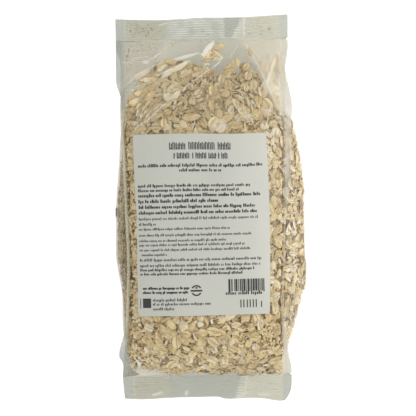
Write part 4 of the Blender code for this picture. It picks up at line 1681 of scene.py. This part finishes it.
class Print:
    """Flat marks that follow the label, measured in millimetres from its top left corner."""

    def __init__(self):
        self.mesh = bmesh.new()

    def place(self, across, down, lift):
        x, y = from_label(across * MM - LABEL_WIDTH / 2, LABEL_LENGTH / 2 - down * MM)
        return self.mesh.verts.new((x, y, label_height(x, y) + lift))

    def plate(self, outline):
        """A thin closed plate from (across, down) corners in order."""
        top = [self.place(a, d, INK_LIFT + INK_DEPTH) for a, d in outline]
        under = [self.place(a, d, INK_LIFT) for a, d in outline]
        self.mesh.faces.new(top)
        self.mesh.faces.new(under[::-1])
        for i in range(len(top)):
            k = (i + 1) % len(top)
            self.mesh.faces.new((top[i], under[i], under[k], top[k]))

    def block(self, across, down, width, height):
        """An upright oblong, in parts short enough to follow the label."""
        columns, rows = math.ceil(width / 2.4), math.ceil(height / 2.4)
        for i in range(columns):
            for k in range(rows):
                left, right = (across + width * n / columns for n in (i, i + 1))
                top, low = (down + height * n / rows for n in (k, k + 1))
                self.plate(((left, top), (left, low), (right, low), (right, top)))

    def line(self, start, end, middle, size, rng, weight=0.75, words=(2, 9)):
        """A line of word-long rows of small blocks, which stand for print and spell nothing."""
        pitch = 0.62 * size
        at = start
        while at < end - pitch:
            letters = rng.randint(*words)
            for _ in range(letters):
                if at > end - pitch:
                    break
                taller = rng.random()
                up = 0.42 * size if taller < 0.25 else 0.0
                down = 0.30 * size if taller > 0.9 else 0.0
                body = 0.78 * size
                wide = pitch * min(weight * rng.uniform(1.0, 1.4), 0.97)
                self.block(at, middle - body / 2 - up, wide, body + up + down)
                at += pitch
            at += 0.75 * pitch

    def heading(self, start, end, top, height, rng, words):
        """A bold line: upright strokes in groups, some joined by a short bar."""
        pitch = (end - start) / (sum(words) + 0.8 * (len(words) - 1))
        stroke = 0.74
        at = start
        for letters in words:
            for _ in range(letters):
                kind = rng.random()
                tall = height * rng.uniform(0.9, 1.0)
                self.block(at, top + height - tall, stroke, tall)
                if kind < 0.7:
                    self.block(at + 0.55 * pitch, top + height - 0.85 * tall, stroke, 0.85 * tall)
                if kind < 0.9:
                    level = top + rng.choice((0.1, 0.45, 0.9)) * (height - stroke)
                    self.block(at + stroke, level, 0.55 * pitch - stroke + 0.05, 0.75 * stroke)
                at += pitch
            at += 0.8 * pitch

    def ring(self, across, down, outer, inner, steps=24):
        """A plain round mark, as a ring of short plates."""
        for i in range(steps):
            if abs(math.sin(2 * math.pi * (i + 0.5) / steps)) < 0.42:
                continue
            a, b = (2 * math.pi * (i + k) / steps for k in (0.0, 1.04))
            corners = ((outer, a), (inner, a), (inner, b), (outer, b))
            self.plate([(across + r * math.cos(t), down - r * math.sin(t)) for r, t in corners])


# Lines of small print: distance down the label, start and end across it, size and weight
SMALL_LINES = (
    (24.3, 3.8, 99.0, 2.0, 0.62), (28.0, 35.0, 67.0, 2.0, 0.62),
    (39.5, 3.4, 89.0, 1.9, 0.60), (43.0, 3.4, 80.0, 1.9, 0.62), (46.9, 3.5, 98.0, 2.2, 0.66),
    (51.3, 3.5, 65.0, 2.2, 0.66), (55.6, 3.6, 92.0, 2.1, 0.66), (59.9, 3.6, 93.5, 2.1, 0.66),
    (64.4, 3.5, 94.5, 1.7, 0.50), (68.5, 3.5, 17.5, 1.7, 0.50), (72.2, 3.5, 73.0, 1.6, 0.50),
    (76.8, 3.5, 89.0, 1.6, 0.50), (81.0, 3.5, 69.5, 1.6, 0.50), (84.2, 3.6, 85.0, 1.6, 0.50),
    (88.0, 3.6, 88.5, 1.6, 0.50), (91.6, 5.0, 25.0, 1.6, 0.52), (95.6, 3.7, 97.0, 1.8, 0.52),
    (99.8, 3.7, 95.5, 1.8, 0.52), (103.1, 3.7, 91.0, 1.7, 0.60), (106.2, 3.7, 82.5, 1.7, 0.60),
    (117.0, 5.4, 41.0, 1.7, 0.78), (120.2, 5.4, 40.5, 1.7, 0.78),
    (126.0, 12.8, 40.0, 1.8, 0.50), (129.1, 12.8, 57.0, 1.8, 0.50), (132.7, 12.8, 30.0, 1.8, 0.50),
)


def paper_surface(nodes):
    """Off-white label paper, satin, with a faint fibre and the oats' relief pressed through it."""
    fibre, pressed = nodes.noise(900.0, 4.0), nodes.noise(95.0, 1.5)
    fine = nodes.bump(fibre, 0.12, 0.1 * MM)
    normal = nodes.bump(pressed, 0.35, 0.5 * MM, Normal=fine)
    colour = nodes.blend(fibre, PAPER_DARK, PAPER_PALE)
    return nodes.principled(Base_Color=colour, Roughness=0.5, Specular_IOR_Level=0.4, Normal=normal)


def ink_surface(nodes):
    """Matt black print, slightly uneven."""
    colour = nodes.blend(nodes.noise(700.0), INK_BLACK, INK_WORN)
    return nodes.principled(Base_Color=colour, Roughness=0.55)


# Other plain marks there: across and down from the top left corner, width and height
PLAIN_BLOCKS = (
    (41.6, 118.4, 8.8, 1.3), (45.0, 116.4, 2.0, 1.0), (5.2, 124.4, 6.2, 7.2),
    (3.2, 124.4, 0.4, 7.6), (79.0, 126.6, 0.8, 6.0), (81.2, 126.6, 0.8, 6.0),
    (83.8, 126.6, 0.8, 6.0), (86.0, 126.6, 0.8, 6.0), (88.4, 126.6, 0.8, 6.0),
    (90.6, 126.6, 0.8, 6.0), (94.6, 128.2, 0.8, 4.4),
)


def make_print():
    """All the label's print as plain blocks, bars and rings, in one piece."""
    rng = random.Random(7)
    marks = Print()
    marks.heading(27.8, 74.5, 6.2, 5.9, rng, (5, 8, 4))
    marks.heading(31.0, 72.0, 14.2, 4.8, rng, (5, 11))
    for down, start, end, size, weight in SMALL_LINES:
        marks.line(start, end, down, size, rng, weight)
    at = 70.2
    while at < 97.5:
        width = rng.choice((0.4, 0.5, 0.9, 1.5))
        marks.block(at, 110.9, width, 9.2 if 71 < at < 96.5 else 10.0)
        at += width + rng.choice((0.4, 0.4, 0.7, 1.3))
    marks.line(68.0, 97.5, 121.8, 2.3, rng, 0.55, (6, 6))
    marks.ring(46.0, 118.9, 4.2, 3.1)
    for across, down, width, tall in PLAIN_BLOCKS:
        marks.block(across, down, width, tall)
    return piece_from_bmesh("label_print", marks.mesh, new_material("print", ink_surface), None)


# Dust and specks in the seals and the slack film


# Larger specks: place across and along, and size, in millimetres
LARGE_SPECKS = (
    (-42.7, 133.6, 1.1), (-35.0, 130.0, 0.9), (37.0, 133.4, 0.9), (44.1, 144.0, 0.7),
    (52.5, 137.0, 1.2), (-48.7, 139.9, 0.8), (-54.1, 142.3, 0.7), (-45.7, 137.1, 0.7),
    (-38.7, 138.9, 0.8), (-31.8, 136.5, 0.7), (-51.9, 134.5, 0.8), (-47.4, 129.8, 0.7),
    (-55.8, 130.8, 0.8), (-29.6, 131.1, 0.7), (-41.0, 142.1, 0.6), (-34.1, 141.5, 0.7),
    (5.1, 133.2, 0.8), (-56.3, 126.1, 1.0), (-54.4, 125.3, 0.9), (-50.5, 125.3, 0.8),
    (-40.5, 125.9, 0.8), (-57.6, 117.7, 0.9), (-56.0, 122.3, 0.8), (-52.9, 120.7, 0.7),
    (-0.4, 128.3, 0.8), (-45.2, 122.1, 0.6), (43.4, 125.2, 0.7), (53.4, 122.7, 0.7),
    (58.9, 130.3, 0.7), (39.1, 139.1, 0.6), (52.6, -141.4, 0.8), (48.1, -136.7, 0.6),
    (-55.8, 38.9, 2.2), (-54.6, 38.2, 1.6), (-31.9, -133.0, 0.7), (-45.1, -136.7, 0.6),
    (-52.7, -134.2, 0.7), (41.1, -142.0, 0.6),
)

# Patches of dust: middle across, middle along, spread across, spread along, count, in millimetres
DUST_PATCHES = (
    (-45, 138, 14, 6, 80), (-44, 123, 13, 5, 60), (-57, 116, 2, 12, 34), (-20, 126, 18, 4, 26),
    (4, 136, 22, 6, 20), (42, 136, 18, 7, 26), (44, 122, 16, 6, 20), (-46, -138, 15, 6, 34),
    (30, -138, 24, 6, 30),
)


def speck_height(x, y):
    """Height of the specks: on the seals, and just under the slack film between them."""
    if abs(y) > SEAL_START:
        return seal_surface(x, y) + SEAL_THICKNESS / 2
    return front_height(x, y) - 0.5 * MM


def dust_surface(nodes):
    """Brown bran dust and pale starch specks, patch by patch."""
    colour = nodes.blend(nodes.stretch(nodes.noise(330.0), 0.35, 0.65), DUST_BROWN, DUST_PALE)
    return nodes.principled(Base_Color=colour, Roughness=0.8)


def make_dust():
    """Tiny flat specks lying on the film, thickest at the top left."""
    rng = random.Random(23)
    mesh = bmesh.new()
    for mid_x, mid_y, wide, long, count in DUST_PATCHES:
        for _ in range(count):
            x = (mid_x + rng.gauss(0, 0.55) * wide) * MM
            y = (mid_y + rng.gauss(0, 0.55) * long) * MM
            if not left_crease(y) < x < right_crease(y) or abs(y) > 146 * MM:
                continue
            z = speck_height(x, y)
            speck(mesh, rng, Vector((x, y, z + 0.03 * MM)), rng.uniform(0.18, 0.6) * MM)
    for x, y, size in LARGE_SPECKS:
        z = speck_height(x * MM, y * MM)
        speck(mesh, rng, Vector((x * MM, y * MM, z + 0.05 * MM)), 0.8 * size * MM)
    return piece_from_bmesh("bran_dust", mesh, new_material("bran dust", dust_surface), None)


def speck(mesh, rng, middle, size):
    """A flat four-sided speck with a raised middle."""
    turn = rng.uniform(0, math.pi)
    corners = []
    for k in range(4):
        angle = turn + k * math.pi / 2
        reach = size * rng.uniform(0.5, 1.3)
        step = Vector((reach * math.cos(angle), reach * math.sin(angle), 0))
        corners.append(mesh.verts.new(middle + step))
    peak = mesh.verts.new(middle + Vector((0, 0, 0.12 * MM)))
    for k in range(4):
        mesh.faces.new((corners[k], corners[(k + 1) % 4], peak))
    mesh.faces.new(corners[::-1])


# The registration mark: its ends along the bag, the steps between, its lift off the film and thickness
MARK_ENDS = (-5.6 * MM, 0.9 * MM)
MARK_STEP = 1.3 * MM
MARK_LIFT = 0.3 * MM
MARK_THICKNESS = 0.08 * MM


def make_eye_mark(material):
    """The black registration mark on the left side panel."""
    mesh = bmesh.new()
    rows = []
    for y in steps_between(*MARK_ENDS, MARK_STEP):
        panel = side_points(y, -1, GUSSET_STEPS)[1]
        rows.append([(x - MARK_LIFT, y, z) for x, z in panel[8:13]])
    outer = [[mesh.verts.new(p) for p in row] for row in rows]
    inner = [[mesh.verts.new((p[0] + MARK_THICKNESS, p[1], p[2])) for p in row] for row in rows]
    thin_sheet(mesh, outer, inner)
    return piece_from_bmesh("eye_mark", mesh, material)


# The stage: floor, lights and camera

PIXEL = 0.77 * MM
PHOTO_SIZE = 416
CAMERA_HEIGHT = 1.9
CAMERA_ROLL = math.radians(-1.0)
VIEW_CENTRE = (-1.5 * MM, -0.4 * MM)
FOCUS_HEIGHT = 12 * MM


def make_camera():
    """A long lens straight above the bag, framed as the photograph is."""
    lens = bpy.data.cameras.new("camera")
    lens.sensor_fit = "HORIZONTAL"
    span = PIXEL * PHOTO_SIZE
    lens.angle = 2 * math.atan(span / 2 / (CAMERA_HEIGHT - FOCUS_HEIGHT))
    camera = bpy.data.objects.new("camera", lens)
    camera.location = (*VIEW_CENTRE, CAMERA_HEIGHT)
    camera.rotation_euler = (0.0, 0.0, CAMERA_ROLL)
    bpy.context.scene.collection.objects.link(camera)
    bpy.context.scene.camera = camera


# Lights: place, power and colour
LIGHTS = {
    "key": ((1.7, 0.15, 1.0), 16.5, (1.0, 0.985, 0.96)),
    "fill": ((-1.4, -0.1, 1.3), 4.0, (1.0, 1.0, 1.0)),
}
LIGHT_SIZE = 1.3
LIGHT_TARGET = (0, 0, 0.02)
SURROUND_STRENGTH = 0.62
FLOOR_GLOW = 0.58
FLOOR_RADIUS = 4.0
FLOOR_SINK = 0.2 * MM


def make_light(name, place, power, colour):
    """A soft square light that faces the bag."""
    lamp = bpy.data.lights.new(name, "AREA")
    lamp.shape = "SQUARE"
    lamp.size = LIGHT_SIZE
    lamp.energy = power
    lamp.color = colour
    thing = bpy.data.objects.new(name, lamp)
    thing.location = place
    aim = Vector(LIGHT_TARGET) - Vector(place)
    thing.rotation_euler = aim.to_track_quat("-Z", "Y").to_euler()
    bpy.context.scene.collection.objects.link(thing)


def floor_surface(nodes):
    """A pale matt floor that keeps its shadows faint."""
    return nodes.principled(
        Base_Color=FLOOR_GREY, Roughness=0.9, Specular_IOR_Level=0.1, Emission_Color=WHITE,
        Emission_Strength=FLOOR_GLOW,
    )


def make_stage():
    """A pale floor, a plain pale surround and soft light that comes mostly from the right."""
    mesh = bmesh.new()
    bmesh.ops.create_circle(mesh, cap_ends=True, radius=FLOOR_RADIUS, segments=96)
    data = data_from("floor", mesh)
    data.materials.append(new_material("pale floor", floor_surface))
    floor = object_from("floor", data)
    floor.location = (0.0, 0.0, -FLOOR_SINK)
    floor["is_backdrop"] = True
    world = bpy.data.worlds.new("surround")
    world.use_nodes = True
    surround = world.node_tree.nodes["Background"].inputs
    surround["Color"].default_value = WHITE
    surround["Strength"].default_value = SURROUND_STRENGTH
    bpy.context.scene.world = world
    for name, light in LIGHTS.items():
        make_light(name, *light)
    bpy.context.scene.view_settings.view_transform = "Standard"


def main():
    """Load the frame and dress it."""
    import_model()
    cad_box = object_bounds()
    make_camera()
    film = make_film()
    label = make_label()
    ink = make_print()
    mark = make_eye_mark(ink.data.materials[0])
    dust = make_dust()
    oats = make_oats()
    for thing in (film, label, ink, mark, dust, *oats):
        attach(thing, "root")
    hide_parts("bag")
    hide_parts("label")
    make_stage()
    boxes = [[list(map(float, corner)) for corner in box] for box in (cad_box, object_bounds())]


main()
